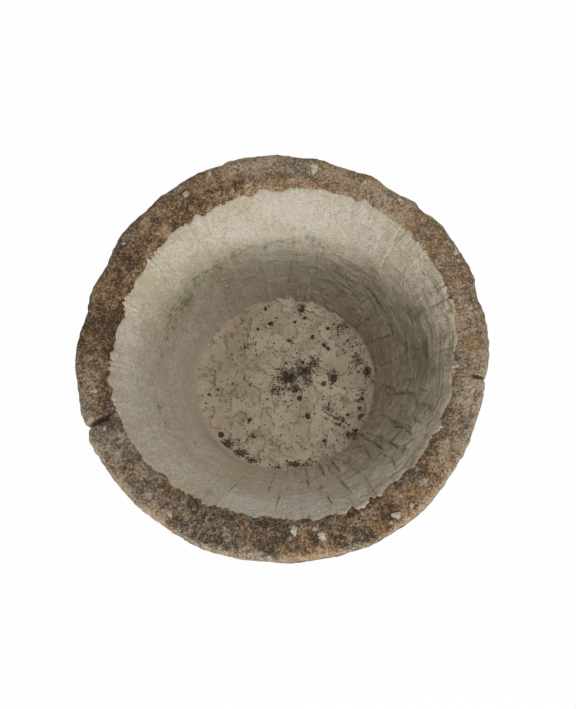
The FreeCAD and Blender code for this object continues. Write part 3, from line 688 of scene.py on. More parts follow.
def plain_mesh(name, points, faces, flat=0, **attributes):
    """A smooth closed mesh with faces outwards; the last faces, flat of them, stay flat."""
    mesh = bpy.data.meshes.new(name)
    mesh.from_pydata(points.reshape(-1, 3).tolist(), [], faces)
    mesh.shade_smooth()
    for polygon in mesh.polygons[len(faces) - flat:]:
        polygon.use_smooth = False
    carry(mesh, **attributes)
    shell = bmesh.new()
    shell.from_mesh(mesh)
    if shell.calc_volume(signed=True) < 0:
        mesh.flip_normals()
    shell.free()
    return mesh


def grid_faces(rows, columns, close_rows=False, close_columns=False):
    """Quads of a grid of points that are numbered row by row."""
    across = np.arange(columns if close_columns else columns - 1)
    down = np.arange(rows if close_rows else rows - 1)
    a, b = np.meshgrid(down, across, indexing="ij")
    c, d = (a + 1) % rows, (b + 1) % columns
    quads = np.stack([a * columns + b, a * columns + d, c * columns + d, c * columns + b], axis=-1)
    return quads.reshape(-1, 4).tolist()


def bend(start, corner, end, count):
    """Points on a smooth curve from start to end that leans to a corner."""
    share = np.linspace(0, 1, count)[:, None]
    start, corner, end = np.array(start), np.array(corner), np.array(end)
    return (1 - share) ** 2 * start + 2 * share * (1 - share) * corner + share**2 * end


def line(start, end, count):
    """Points on a straight line, without its end."""
    return np.linspace(start, end, count, endpoint=False)


def smooth(value, low, high):
    """A smooth step from 0 at low to 1 at high."""
    share = np.clip((value - low) / (high - low), 0, 1)
    return share * share * (3 - 2 * share)


def apart(angles, middle):
    """Signed difference of angles in degrees, from -180 to 180."""
    return (angles - middle + 180) % 360 - 180


def round_table(rows, angles, column=1):
    """Reads a column of a measured table at any angle, round the whole bowl."""
    table = np.array(rows, float)
    return np.interp(angles % 360, table[:, 0], table[:, column], period=360)


def ring_noise(angles, slowest, fastest, seed):
    """A random wave round the bowl with a spread of about 1."""
    rng = np.random.default_rng(seed)
    total = np.zeros_like(angles, dtype=float)
    power = 0.0
    for waves in range(slowest, fastest + 1):
        height = rng.normal() / math.sqrt(waves)
        total += height * np.sin(waves * np.radians(angles) + rng.uniform(0, math.tau))
        power += height * height / 2
    return total / math.sqrt(power)


# Shape of the stones: where the parts of their section meet, in metres
AXIS_GAP = 0.006
MOUTH_ZONE = 0.055
RIM_ROUNDING = 0.015
RIM_OVERHANG = 0.0015
SHOULDER_DROP = 0.022
FOOT_RISE = 0.014
FOOT_ROUNDING = 0.012
RIM_DEPTH = 0.03
LEVEL_SLACK = 1e-6
MEAN_STONE_RADIUS = 0.3
GROWTH_HEIGHT = 0.0006

# Worn pale stretch of the rim: where it starts and how far it runs, in degrees
BLEACHED_START = 326.4
BLEACHED_RUN = 41.6


def hewn_swell(angles):
    """How far the hewn outline stands out from a circle, in metres."""
    total = np.zeros_like(angles, dtype=float)
    for middle, spread, height in HEWN_LOBES:
        total += height * MM * np.exp(-((apart(angles, middle) / spread) ** 2))
    return total


def edge_chips(angles):
    """Chips and bumps of the rim's outer edge, in metres."""
    measured = round_table(EDGE_CHIPS, angles) * MM
    return measured + 0.0003 * ring_noise(angles, 60, 130, 3)


def hollow_radius(stone, height):
    """Radius of the hollow's wall at a height."""
    low = np.array((stone.hollow_radius, stone.base_height))
    high = np.array((stone.mouth_radius - stone.wear_run, stone.height - stone.wear_drop))
    chord = high - low
    span = np.hypot(*chord)
    away = math.sqrt(stone.hollow_curve**2 - (span / 2) ** 2)
    centre = (low + high) / 2 + np.array((chord[1], -chord[0])) / span * away
    return centre[0] - np.sqrt(stone.hollow_curve**2 - (height - centre[1]) ** 2)


def mouth_bend(stone, count):
    """The worn inner edge of the rim, from the rim's top down into the hollow."""
    run, drop = stone.wear_run, stone.wear_drop
    reach = (run * run + drop * drop) / (2 * drop)
    turns = np.linspace(0, math.asin(run / reach), count)
    radius = stone.mouth_radius - reach * np.sin(turns)
    return np.column_stack([radius, stone.height - reach * (1 - np.cos(turns))])


def hollow_section(stone):
    """The bare stone from its rim down the hollow: distance from the mouth, radius, height and normal."""
    edge = mouth_bend(stone, 24)
    rim = line((stone.rim_radius, stone.height), edge[0], 20)
    heights = np.linspace(edge[-1, 1], stone.base_height, 160)[1:]
    wall = np.column_stack([hollow_radius(stone, heights), heights])
    points = np.vstack([rim, edge, wall])
    distance = np.concatenate([[0], np.cumsum(np.hypot(*np.diff(points, axis=0).T))])
    distance -= distance[len(rim) + len(edge) // 2]
    run = np.gradient(points, distance, axis=0)
    return distance, points[:, 0], points[:, 1], run[:, 1], -run[:, 0]


def flank_radius(stone, height):
    """Radius of the flank at a height, before swells, lumps and chips."""
    shoulder = stone.height - stone.arris_drop
    taper = stone.foot_radius + (stone.rim_radius - stone.foot_radius) * height / shoulder
    bulge = height * (shoulder - height) / (stone.belly_height * (shoulder - stone.belly_height))
    return taper + stone.belly_swell * bulge


def dressing(stone, angles, height):
    """How far the pick's lumps stand out on the flank, in metres, evened from course to course."""
    rise = height / (stone.height - stone.arris_drop) * (len(COURSE_SHARES) - 1)
    total = 0.0
    for course, share in enumerate(COURSE_SHARES):
        near = np.clip(1 - np.abs(rise - course), 0, 1)
        waves = sum(np.cos(np.radians(count * angles + turned * course)) for count, turned in DRESSING_WAVES)
        total = total + share * near * waves / len(DRESSING_WAVES)
    return stone.dressing_depth * total


def stone_section(stone):
    """The stone's closed section: radius, height and shares of swells, chips, lumps, relief and flank."""
    top = stone.height
    edge = mouth_bend(stone, 9)[::-1]
    inner_low = np.linspace(stone.base_height, top - MOUTH_ZONE, 14, endpoint=False)
    inner_high = np.linspace(top - MOUTH_ZONE, edge[0, 1], 18, endpoint=False)
    rim_in, rim_out, shoulder = edge[-1, 0], stone.rim_radius - RIM_ROUNDING, top - SHOULDER_DROP
    below = (flank_radius(stone, shoulder), shoulder)
    arris = bend((rim_out, top), (stone.rim_radius + RIM_OVERHANG, top), below, 15)
    flank_heights = np.linspace(shoulder, FOOT_RISE, 90)[1:]
    foot = flank_radius(stone, 0.0)
    above = (flank_radius(stone, FOOT_RISE), FOOT_RISE)
    foot_edge = bend(above, (foot, 0.0), (foot - FOOT_ROUNDING, 0.0), 7)[1:]
    parts = [
        (line((AXIS_GAP, stone.base_height), (stone.hollow_radius, stone.base_height), 9), 0, 0),
        (np.column_stack([hollow_radius(stone, inner_low), inner_low]), 0, 0),
        (np.column_stack([hollow_radius(stone, inner_high), inner_high]), 0.5, 0),
        (edge[:-1], 0.7, 0),
        (line((rim_in, top), (rim_out, top), 20), 1, 0),
        (arris, 1, 0.25),
        (np.column_stack([flank_radius(stone, flank_heights), flank_heights]), 1, 1),
        (foot_edge, 0, 0),
        (line((foot - FOOT_ROUNDING - MM, 0.0), (AXIS_GAP, 0.0), 9), 0, 0),
        (np.array([[AXIS_GAP, 0.0]]), 0, 0),
    ]
    points = np.vstack([part for part, _, _ in parts])
    radius, height = points.T
    off_ground = np.where(radius > stone.hollow_radius, smooth(height, 0.008, 0.030), 1)
    relief = np.concatenate([np.full(len(part), share, float) for part, share, _ in parts]) * off_ground
    flank = np.concatenate([np.full(len(part), share, float) for part, _, share in parts])
    from_axis = np.clip((radius - rim_in) / (stone.rim_radius - rim_in), 0, 1)
    outer = (radius > rim_in) & (height < top - LEVEL_SLACK) & (height > LEVEL_SLACK) | (flank > 0)
    risen = np.clip(height / (top - stone.arris_drop), 0, 1)
    swell = np.where(outer, stone.foot_share + (1 - stone.foot_share) * risen, from_axis)
    under = height < LEVEL_SLACK
    swell = np.where(under, stone.foot_share * radius / foot, swell)
    swell = np.where((height > LEVEL_SLACK) & (radius <= rim_in) & ~outer, 0, swell)
    chips = np.where(outer, np.exp(-((top - height) / 0.07) ** 2), from_axis**3)
    chips = np.where(under | (radius <= rim_in), 0, chips)
    lumps = np.where(under, radius / foot, np.where(outer, 1.0, 0.0))
    return radius, height, swell, chips, lumps, relief, flank


def stone_columns(first, last, step):
    """Shares of the way from one joint to the other, set closer at the joints."""
    count = int(round((last - first) / step))
    near = np.array((0, 0.8, 1.8, 3.0, 4.5, 6.5, 9.0)) * MM / (math.radians(last - first) * MEAN_STONE_RADIUS)
    even = np.linspace(near[-1], 1 - near[-1], count)
    return np.concatenate([near[:-1], even, 1 - near[-2::-1]])


def worn_arris(reach, soft):
    """How far a rounded edge falls back, by the distance from the joint."""
    inside = np.clip(soft - reach, 0, soft)
    return soft - np.sqrt(soft * soft - inside * inside)


def stone_masks(stone, angles, radius, height):
    """What the stone's colour follows: rust, lightness with painted shade at the rear of the mouth, bleached
    stretch, round growths and blue specks.
    """
    rust = round_table(STONE_TONES, angles, 1)
    light = round_table(STONE_TONES, angles, 2)
    # Painted shade: towards the rear, the mouth's worn edge is darkened against the front lamp's light, and
    # made more rusty
    at_mouth = smooth(stone.mouth_radius + 0.014 - radius, 0, 0.016)
    inner = at_mouth * smooth(np.cos(np.radians(angles - 135)), 0.1, 0.8)
    rust, light = rust + 0.25 * inner, light - 0.40 * inner
    wobble = 1.6 * ring_noise(radius * 4000 + height * 9000, 2, 9, 11)
    from_edge = apart(angles, BLEACHED_START) + 0.5 * wobble
    bleached = smooth(from_edge, -0.5, 1.0) * smooth(BLEACHED_RUN - from_edge + 3 * wobble, 0, 8)
    bleached = bleached * smooth(radius, stone.mouth_radius, stone.mouth_radius + 0.006)
    on_rim = height > stone.height - RIM_DEPTH
    x, y = radius * np.cos(np.radians(angles)), radius * np.sin(np.radians(angles))
    bent_x = x + 0.0025 * np.sin(y * 420 + 2 * np.sin(x * 300))
    bent_y = y + 0.0025 * np.sin(x * 460 + 1)
    growth = np.zeros_like(angles)
    for middle, reach, half in ROSETTES:
        centre = math.radians(middle)
        centre_x, centre_y = reach * MM * math.cos(centre), reach * MM * math.sin(centre)
        away = np.hypot(bent_x - centre_x, bent_y - centre_y) / (half * MM)
        ring = np.exp(-((away - 0.85) / 0.28) ** 2) + 0.6 * np.exp(-((away / 0.5) ** 2))
        growth = np.maximum(growth, ring * on_rim)
    blue = np.zeros_like(angles)
    for speck_x, speck_y, half in BLUE_SPECKS:
        away = ((x - speck_x * MM) ** 2 + (y - speck_y * MM) ** 2) / (half * MM) ** 2
        blue = np.maximum(blue, np.exp(-away))
    return rust, light, bleached, growth, blue * on_rim


def stone_base(name, stone, first, last, first_gap, last_gap, first_soft, last_soft, step):
    """One stone between two joints, with its outline, chips and worn joint edges, before weathering."""
    radius, height, swell, chips, lumps, relief, flank = stone_section(stone)
    shares = stone_columns(first, last, step)
    middle = first + shares * (last - first)
    outward = radius[:, None] + swell[:, None] * hewn_swell(middle) + chips[:, None] * edge_chips(middle)
    outward = outward + lumps[:, None] * dressing(stone, middle, height[:, None])
    from_first = np.degrees(np.arcsin(np.clip(first_gap / outward, -1, 1)))
    from_last = np.degrees(np.arcsin(np.clip(last_gap / outward, -1, 1)))
    angles = (first + from_first) + shares * ((last - from_last) - (first + from_first))
    section = np.column_stack([radius, height])
    run = np.roll(section, -1, axis=0) - np.roll(section, 1, axis=0)
    run /= np.maximum(np.linalg.norm(run, axis=1, keepdims=True), 1e-9)
    near_first = outward * np.radians(angles - (first + from_first))
    near_last = outward * np.radians((last - from_last) - angles)
    shows = (relief > 0)[:, None]
    fall = np.where(shows, worn_arris(near_first, first_soft) + worn_arris(near_last, last_soft), 0)
    out_radius = outward + fall * run[:, 1:]
    out_height = height[:, None] - fall * run[:, :1]
    turned = np.radians(angles)
    points = np.stack([out_radius * np.cos(turned), out_radius * np.sin(turned), out_height], axis=-1)
    rows, columns = angles.shape
    faces = grid_faces(rows, columns, close_rows=True)
    faces.append([row * columns for row in range(rows)])
    faces.append([row * columns + columns - 1 for row in reversed(range(rows))])
    quiet = smooth(np.minimum(near_first, near_last), 0, 0.012) * 0.75 + 0.25
    rust, light, bleached, growth, blue = stone_masks(stone, angles, out_radius, out_height)
    fallen = stone.height - height
    # Painted highlight: the rim's outer edge is made lighter, a little all round as paler worn stone and much
    # more towards the front, where the low lamp lights it
    arris = np.where(flank > 0, smooth(fallen, 0.0, 0.004) * smooth(-fallen, -0.06, -0.012), 0)
    light = light + arris[:, None] * (0.15 + 0.40 * smooth(-np.sin(turned), -0.2, 0.6))
    return plain_mesh(
        name, points, faces, flat=2,
        relief=relief[:, None] * quiet, flank=flank[:, None] * quiet, girth=stone.rim_radius * turned,
        rust=rust, light=light, bleached=bleached, growth=growth, blue=blue,
    )


def stone_tree():
    """Weathers a stone: broad lumps, coarse grain, pits, and chisel furrows on the flank."""
    tree = ShapeTree(
        "Weathered stone", "lump_height", "lump_size", "grain_height", "grain_size", "pit_depth", "pit_size",
        "furrow_depth", "furrow_pitch", "seed",
    )
    seed, place = tree.size("seed"), tree.place
    lumps = tree.swing(place, tree.size("lump_size"), 2.0, 0.5, seed)
    grain = tree.swing(place, tree.size("grain_size"), 4.0, 0.62, seed + 5.0)
    pits = tree.dots(place, tree.size("pit_size"), (0.45, 0.75), (0.42, 0.05))
    lean = tree.swing(place, 0.11, 0.0, 0.5, seed + 9.0) * 5.0 + 1.15
    up = tree.part(place, "Z")
    across = tree.attribute("girth") * tree.maths("SINE", lean) - up * tree.maths("COSINE", lean)
    sway = tree.noise(place, 0.02, 2.0, 0.5, seed + 2.0) * 5.0
    stripes = tree.maths("SINE", across * math.tau / tree.size("furrow_pitch") + sway)
    struck = tree.rise(tree.noise(place, 0.05, 3.0, 0.6, seed + 7.0), 0.42, 0.62)
    furrows = tree.rise(stripes, 0.1, 1.0) * struck * tree.attribute("flank")
    relief = tree.attribute("relief")
    lumps = lumps * tree.size("lump_height") * (1 - 0.65 * tree.attribute("flank"))
    height = lumps + grain * tree.size("grain_height") - pits * tree.size("pit_depth")
    height = height * relief + tree.attribute("growth") * GROWTH_HEIGHT - furrows * tree.size("furrow_depth")
    shape = tree.push(tree.entry, height)
    # How sunken each point is, in pits, grain hollows and furrows, which the finish darkens as painted shade
    hollow = (pits * 0.8 - grain * 1.2) * relief + furrows * 0.85
    return tree.close(tree.store(shape, "hollow", hollow))


def stone_finish(stone):
    """Weathered stone: dark to pale grain over grey, brown and rusty patches, with painted shade in its
    hollows.
    """
    look = Finish("hewn_stone")
    place = look.tilted()
    broad = look.swing(place, 0.055, 4.0, 0.60, 1.0)
    patch = look.swing(place, 0.017, 5.0, 0.66, 2.0)
    grain = look.swing(place, 0.0050, 4.0, 0.80, 3.0)
    fine = look.swing(place, 0.0019, 2.0, 0.65, 4.0)
    # The lightness is the stone's tone, with a painted highlight on the outer edge and painted shade at the
    # rear of the mouth
    light = look.attribute("light") - 0.5
    speckle = grain * 4.9 + fine * 4.2
    tone = speckle + patch * 3.6 + broad * 2.2 + light * 0.8 + 0.54
    rusty = look.rise(look.noise(place, 0.034, 5.0, 0.66, 5.0) + look.attribute("rust") * 0.30, 0.59, 0.74)
    warm = look.mix(look.rise(broad, -0.08, 0.10), stone.grey, stone.brown)
    warm = look.mix(rusty * 0.95, warm, stone.rust)
    lighter = look.mix(rusty * 0.50, stone.tan, look.mix(0.5, stone.rust, stone.tan))
    warm = look.mix(look.attribute("bleached") * 0.75, warm, stone.bleached)
    shade = look.mix(look.rise(light, -0.25, 0.25) * 0.45, stone.dark, stone.brown)
    base = look.mix(look.rise(tone, -0.16, 0.48), shade, warm)
    base = look.mix(look.rise(tone, 0.48, 1.35) * 0.95, base, lighter)
    base = look.mix(look.rise(speckle + light * 0.5, 0.45, 0.95) * 0.80, base, stone.pale)
    grown = look.mix(look.rise(speckle, -0.45, 0.55), look.mix(0.4, stone.rust, stone.dark), stone.ochre)
    base = look.mix(look.rise(look.attribute("growth") + speckle * 0.35, 0.25, 0.75) * 0.80, base, grown)
    loose = look.strayed(place, 0.010, place, 0.009, 3.0, 0.6, 6.0)
    flecks = look.dots(loose, 0.0046, (0.72, 0.84), (0.66, 0.40))
    flecks = flecks * look.rise(patch + light * 0.2, -0.12, 0.08)
    lichen = look.rise(look.swing(loose, 0.026, 5.0, 0.7, 7.0) + light * 0.12 + grain * 0.25, 0.13, 0.21)
    lichen = lichen * look.rise(speckle, -0.45, 0.35)
    base = look.mix(look.maths("MAXIMUM", flecks * 0.55, lichen * 0.50), base, stone.pale)
    # Painted shade: pits, grain hollows and chisel furrows are darkened
    base = look.mix(look.rise(look.attribute("hollow"), 0.25, 0.95) * 0.55, base, stone.dark)
    base = look.mix(look.rise(look.attribute("blue") + speckle * 0.40, 0.42, 0.80) * 0.65, base, stone.blue)
    height = grain * 1.3 + fine * 0.9 + flecks * 0.2
    return look.close(base, 0.84 + 0.2 * grain, height, 0.0042, specular=0.22)


class PLANTER_OT_hew_stones(bpy.types.Operator):
    """Makes the two weathered stones"""

    bl_idname = "planter.hew_stones"
    bl_label = "Hew stones"

    def execute(self, context):
        stone = context.scene.planter.stone
        left, right = math.degrees(stone.left_angle), math.degrees(stone.right_angle)
        left_gap, right_gap = stone.left_width / 2, stone.right_width / 2
        tree, finish = stone_tree(), stone_finish(stone)
        rear = stone_base(
            "rear", stone, right, left, right_gap, left_gap,
            first_soft=0.003, last_soft=0.008, step=0.432,
        )
        front = stone_base(
            "front", stone, left, right + 360, left_gap, right_gap,
            first_soft=0.005, last_soft=0.003, step=0.335,
        )
        settle(grow("rear_stone_hewn", rear, tree, finish, stone, seed=1.0), "hewn_stone", "rear_stone")
        settle(grow("front_stone_hewn", front, tree, finish, stone, seed=3.0), "hewn_stone", "front_stone")
        return {"FINISHED"}


# Fillings of the joints
EARTH_ROWS = 40
EARTH_COLUMNS = 7
EARTH_DEPTH = 0.016
EARTH_SINK = 0.0006
EARTH_OVERLAP = 0.0006
EARTH_FALL = 0.009
EARTH_FALL_RUN = 0.012

# Earth in each joint: the radii where it starts and ends, in metres
RIGHT_EARTH = (0.268, 0.303)
LEFT_EARTH = (0.271, 0.288)


def mortar_finish():
    """Dirty sandy mortar."""
    look = Finish("joint_mortar")
    grain = look.noise(look.place, 0.004, 5.0, 0.7, 1.0)
    base = look.mix(look.rise(grain, 0.35, 0.65), (0.075, 0.058, 0.040), (0.190, 0.155, 0.115))
    damp = look.rise(look.noise(look.place, 0.03, 3.0, 0.6, 2.0), 0.45, 0.65)
    base = look.mix(damp, base, (0.060, 0.045, 0.030))
    return look.close(base, 0.9 + 0.08 * grain, grain, 0.002)


def grout_finish():
    """Fine pale grout with a few air holes, darkened as painted shade."""
    look = Finish("dowel_grout")
    cloud = look.noise(look.place, 0.018, 4.0, 0.6, 1.0)
    holes = look.dots(look.place, 0.003, (0.7, 0.8), (0.28, 0.10))
    base = look.mix(cloud, (0.36, 0.34, 0.31), (0.47, 0.45, 0.41))
    # Painted shade in the air holes
    base = look.mix(holes, base, (0.16, 0.145, 0.125))
    return look.close(base, 0.85 + 0.1 * cloud, cloud - holes, 0.001)


def dowel_finish():
    """Plain steel bar with drawing lines and a little rust."""
    look = Finish("dowel_bar")
    lines = look.noise(look.place, 0.0012, 2.0, 0.5, 1.0)
    rust = look.rise(look.noise(look.place, 0.02, 5.0, 0.65, 2.0), 0.56, 0.68)
    base = look.mix(lines, (0.50, 0.50, 0.51), (0.60, 0.60, 0.61))
    base = look.mix(rust, base, (0.19, 0.085, 0.035))
    return look.close(base, 0.34 + 0.14 * lines + 0.4 * rust, lines, 0.0003, 1 - rust, 0.5)


def packed_earth(stone, degrees, width, start, end):
    """Earth and crumbs packed into the inner end of a joint, from one radius to another."""
    rng = np.random.default_rng(31)
    along = np.linspace(start, end, EARTH_ROWS)
    across = np.linspace(-1, 1, EARTH_COLUMNS)
    worn = np.clip((stone.mouth_radius - along) / stone.wear_run, 0, 1)
    top = stone.height - EARTH_SINK - stone.wear_drop * (1 - np.sqrt(1 - worn * worn))
    top = top - EARTH_FALL * smooth(along, end - EARTH_FALL_RUN, end)
    top = top[:, None] + 0.0005 * rng.normal(size=(EARTH_ROWS, EARTH_COLUMNS)) - 0.0004 * across**2
    side = np.broadcast_to(across * (width / 2 + EARTH_OVERLAP), top.shape)
    side = np.hstack([side, side[:, [-1, 0]]])
    high = np.hstack([top, np.full((EARTH_ROWS, 2), stone.height - EARTH_DEPTH)])
    arc = math.radians(degrees)
    reach = np.broadcast_to(along[:, None], side.shape)
    x, y = reach * math.cos(arc) - side * math.sin(arc), reach * math.sin(arc) + side * math.cos(arc)
    faces = grid_faces(*side.shape, close_columns=True)
    columns = side.shape[1]
    last = (EARTH_ROWS - 1) * columns
    faces += [list(range(columns)), [last + one for one in reversed(range(columns))]]
    return np.stack([x, y, high], axis=-1).reshape(-1, 3), faces


class PLANTER_OT_finish_joints(bpy.types.Operator):
    """Finishes the mortar, dowels and grout of the joints and packs earth into their inner ends"""

    bl_idname = "planter.finish_joints"
    bl_label = "Finish joints"

    def execute(self, context):
        finishes = {"mortar": mortar_finish(), "grout": grout_finish(), "dowel": dowel_finish()}
        for name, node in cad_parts.items():
            kind = name.rsplit("_", 1)[-1]
            if kind in finishes:
                node.data.materials.clear()
                node.data.materials.append(finishes[kind])
        stone = context.scene.planter.stone
        points, faces = [], []
        for degrees, width, start, end in (
            (math.degrees(stone.right_angle), stone.right_width, *RIGHT_EARTH),
            (math.degrees(stone.left_angle), stone.left_width, *LEFT_EARTH),
        ):
            more, shell = packed_earth(stone, degrees, width, start, end)
            faces += [[len(points) + corner for corner in face] for face in shell]
            points += more.tolist()
        whole = np.ones(len(points))
        masks = {"light": whole * 0.62, "rust": whole * 0.4, "bleached": whole * 0.4}
        mesh = plain_mesh("joint_earth", np.array(points), faces, **masks)
        mesh.materials.append(bpy.data.materials["hewn_stone"])
        earth = bpy.data.objects.new("joint_earth", mesh)
        context.scene.collection.objects.link(earth)
        settle(earth, "mortar")
        return {"FINISHED"}


# Lining of the wall
LINING_COLUMNS = 880
LINING_ROWS = 100
LIP_ROWS = 9
LIP_SHARE = 0.045
BACK_ROWS = 6
MEAN_WALL_RADIUS = 0.21
TORN_THICKNESS = 0.0008
BACK_GAP = 0.0003
FOOT_GAP = 0.003
LIP_FADE = 0.010

# Heights between which the tool marks change from those near the mouth to those near the floor
MARKS_HIGH = 0.285
MARKS_LOW = 0.235

# Section of a trowel lap, in metres: its step, the run of its lip and scoop, and its crease
LAP_STEP = (-0.0011, 0.0009)
LAP_LIP_RUN = 0.016
LAP_SCOOP_RUN = 0.0045
CREASE_PLACE = -0.0008
CREASE_HALF = 0.0016


def lap_marks(angles, radius, height):
    """Steps of the trowel laps along the surface, in metres, and how deep in a crease each point is."""
    raised = np.zeros_like(angles)
    crease = np.zeros_like(angles)
    for number, (step, *points) in enumerate(TROWEL_LAPS):
        table = np.array(points, float)[::-1]
        middle = np.interp(height / MM, table[:, 1], table[:, 0])
        rise = height / MM
        sway = np.sin(rise / (5.5 + number % 4) + number) + 0.5 * np.sin(rise / 2.1 + 2.3 * number)
        broken = smooth(np.sin(rise / 7.5 + 1.9 * number) + 0.5 * np.sin(rise / 3.1 + number), -1.0, 0.4)
        past = np.radians(apart(angles, middle)) * radius + sway * MM
        top, foot = table[-1, 1] * MM, table[0, 1] * MM
        inside = smooth(height, foot - 0.004, foot + 0.010) * smooth(-height, -top - 0.004, -top + 0.010)
        lip = smooth(past, *LAP_STEP) * np.exp(-np.clip(past, 0, None) / LAP_LIP_RUN)
        scoop = -0.45 * np.exp(np.clip(past, None, 0) / LAP_SCOOP_RUN) * (past < LAP_STEP[1])
        raised += step * MM * inside * (0.6 + 0.6 * broken) * (lip + scoop)
        thin = np.exp(-(((past - CREASE_PLACE) / CREASE_HALF) ** 2)) * (0.5 + 0.5 * broken)
        crease = np.maximum(crease, inside * min(1.0, step / 2.2) * thin)
    return raised, crease


def stain_mask(rows, angles, radius, height):
    """Where the patches of a table show on the lining, from 0 to 1: stains, and painted light and shade."""
    total = np.zeros_like(angles)
    for middle, level, half_width, half_height, strength in rows:
        across = np.radians(apart(angles, middle)) * radius / (half_width * MM)
        up = (height - level * MM) / (half_height * MM)
        total = np.maximum(total, strength * np.exp(-(across**2) - up**2))
    return total


def cove_share(angles):
    """How softly the wall runs into the floor: little at the right, fully at the left."""
    return 0.35 + 0.65 * smooth(-np.cos(np.radians(angles - 30)), -0.3, 0.5)


def lining_base(stone, lining):
    """The coat from its torn edge to under the floor, with its trowel laps, before finer tool marks."""
    distance, radius, height, normal_radius, normal_height = hollow_section(stone)
    angles = np.arange(LINING_COLUMNS) * 360 / LINING_COLUMNS
    ragged = 0.55 + 1.1 * smooth(ring_noise(angles, 4, 22, 7), -0.4, 1.2)
    torn = ragged * (ring_noise(angles, 30, 90, 5) * 0.0012 + ring_noise(angles, 120, 240, 6) * 0.0010)
    torn_edge = round_table(LINING_EDGE, angles) * MM
    start = sum(np.roll(torn_edge, shift) for shift in range(-1, 2)) / 3 + torn
    end = np.interp(-(stone.base_height + FOOT_GAP), -height, distance)
    lip_shares = np.linspace(0, LIP_SHARE, LIP_ROWS, endpoint=False)
    shares = np.append(lip_shares, np.linspace(LIP_SHARE, 1, LINING_ROWS - LIP_ROWS))
    along = start + shares[:, None] * (end - start)
    under = along - start
    body = TORN_THICKNESS + (lining.edge_thickness - TORN_THICKNESS) * (1 - np.exp(-under / 0.005))
    full = -lining.thickness * np.interp(along, distance, normal_radius)
    depth = body + np.maximum(full - lining.edge_thickness, 0) * smooth(under, 0.002, 0.040)
    depth = depth - 0.0018 * np.exp(-under / 0.001)
    back_shares = np.linspace(1, 0.03, BACK_ROWS)
    back_along = start + back_shares[:, None] * (end - start)
    every = np.vstack([along, back_along])
    thick = np.vstack([depth, np.full_like(back_along, BACK_GAP)])
    flat_radius, flat_height = np.interp(every, distance, radius), np.interp(every, distance, height)
    turned = np.broadcast_to(angles, every.shape)
    raised, crease = lap_marks(turned, flat_radius, flat_height)
    shows = np.vstack([smooth(under, 0.0, 0.006), np.zeros_like(back_along)])
    thick = thick + raised * shows
    out_radius = flat_radius + thick * np.interp(every, distance, normal_radius)
    out_height = flat_height + thick * np.interp(every, distance, normal_height)
    arc = np.radians(turned)
    points = np.stack([out_radius * np.cos(arc), out_radius * np.sin(arc), out_height], axis=-1)
    low_share = smooth(-out_height, -MARKS_HIGH, -MARKS_LOW)
    tooled = round_table(TOOLED, turned) * (1 - low_share) + round_table(TOOLED, turned, 2) * low_share
    brushed = round_table(TOOLED, turned, 3) * (1 - low_share) + round_table(TOOLED, turned, 4) * low_share
    rippled = (0.15 + 0.85 * low_share) * brushed * shows
    # Green growth, damp stains that are partly painted shade, and pale patches that are mostly painted light
    stains = {
        label: stain_mask(rows, turned, out_radius, out_height)
        for label, rows in (("algae", ALGAE), ("damp", DAMP_AND_SHADE), ("chalky", CHALK_AND_LIGHT))
    }
    wall_place = np.stack([MEAN_WALL_RADIUS * np.cos(arc), MEAN_WALL_RADIUS * np.sin(arc), every], axis=-1)
    lip = np.vstack([np.exp(-((under / LIP_FADE) ** 2)), np.zeros_like(back_along)])
    return plain_mesh(
        "lining", points, grid_faces(*every.shape, close_rows=True, close_columns=True),
        tooled=tooled * shows, brushed=brushed * shows, crease=crease * shows, rippled=rippled, lip=lip,
        coved=cove_share(turned), shows=shows, wall_place=wall_place, **stains,
    )


def lining_tree():
    """Tool marks of the lining: overlapping trowel strokes, flutes, brush ripples and dimples."""
    tree = ShapeTree(
        "Trowelled lining", "panel_width", "panel_height", "panel_step", "ripple_height", "dimple_height",
        "seed",
    )
    wall, seed = tree.attribute("wall_place", "FLOAT_VECTOR"), tree.size("seed")
    tooled = tree.attribute("tooled")
    wide, tall = 1 / tree.size("panel_width"), 1 / tree.size("panel_height")
    shrink = tree.add("ShaderNodeCombineXYZ", {0: wide, 1: wide, 2: tall})
    swayed = tree.strayed(wall, 0.016, wall, 0.03, 2.0, 0.5, seed)
    cell = tree.vectors("MULTIPLY", swayed, shrink)
    middle = tree.cells(cell, 1.0, "Position", randomness=0.9)
    drawn = tree.part(tree.cells(cell, 1.0, "Color", randomness=0.9), "X")
    tangent = tree.vectors("NORMALIZE", tree.vectors("CROSS_PRODUCT", (0, 0, 1), wall))
    across = tree.vectors("DOT_PRODUCT", tree.vectors("SUBTRACT", cell, middle), tangent, output="Value")
    strokes = drawn * 0.5 - across * 0.55
    flutes = tree.streaks(wall, (70, 70, 9), 2.0, 0.5, seed + 2.0)
    ripples = tree.streaks(swayed, (18, 18, 118), 2.0, 0.6, seed + 3.0)
    dimples = tree.swing(wall, 0.011, 3.0, 0.6, seed + 4.0)
    waves = tree.swing(wall, 0.07, 1.0, 0.5, seed + 6.0)
    height = (strokes + flutes * 2.4) * tooled * tree.size("panel_step")
    height = height + ripples * tree.attribute("rippled") * tree.size("ripple_height")
    height = height + (dimples * tree.size("dimple_height") + waves * 0.004) * tree.attribute("shows")
    shape = tree.push(tree.entry, height)
    # The far side of each trowel stroke, which the finish darkens as painted shade
    ends = tree.rise(across, 0.28, 0.46) * tree.rise(drawn, 0.25, 0.55) * tooled
    shape = tree.store(shape, "ends", ends)
    # How sunken each tool mark is, which the finish darkens as painted shade
    sunk = (flutes * -1.6 - ripples * 0.8) * tooled + dimples * -0.6
    return tree.close(tree.store(shape, "hollow", sunk))


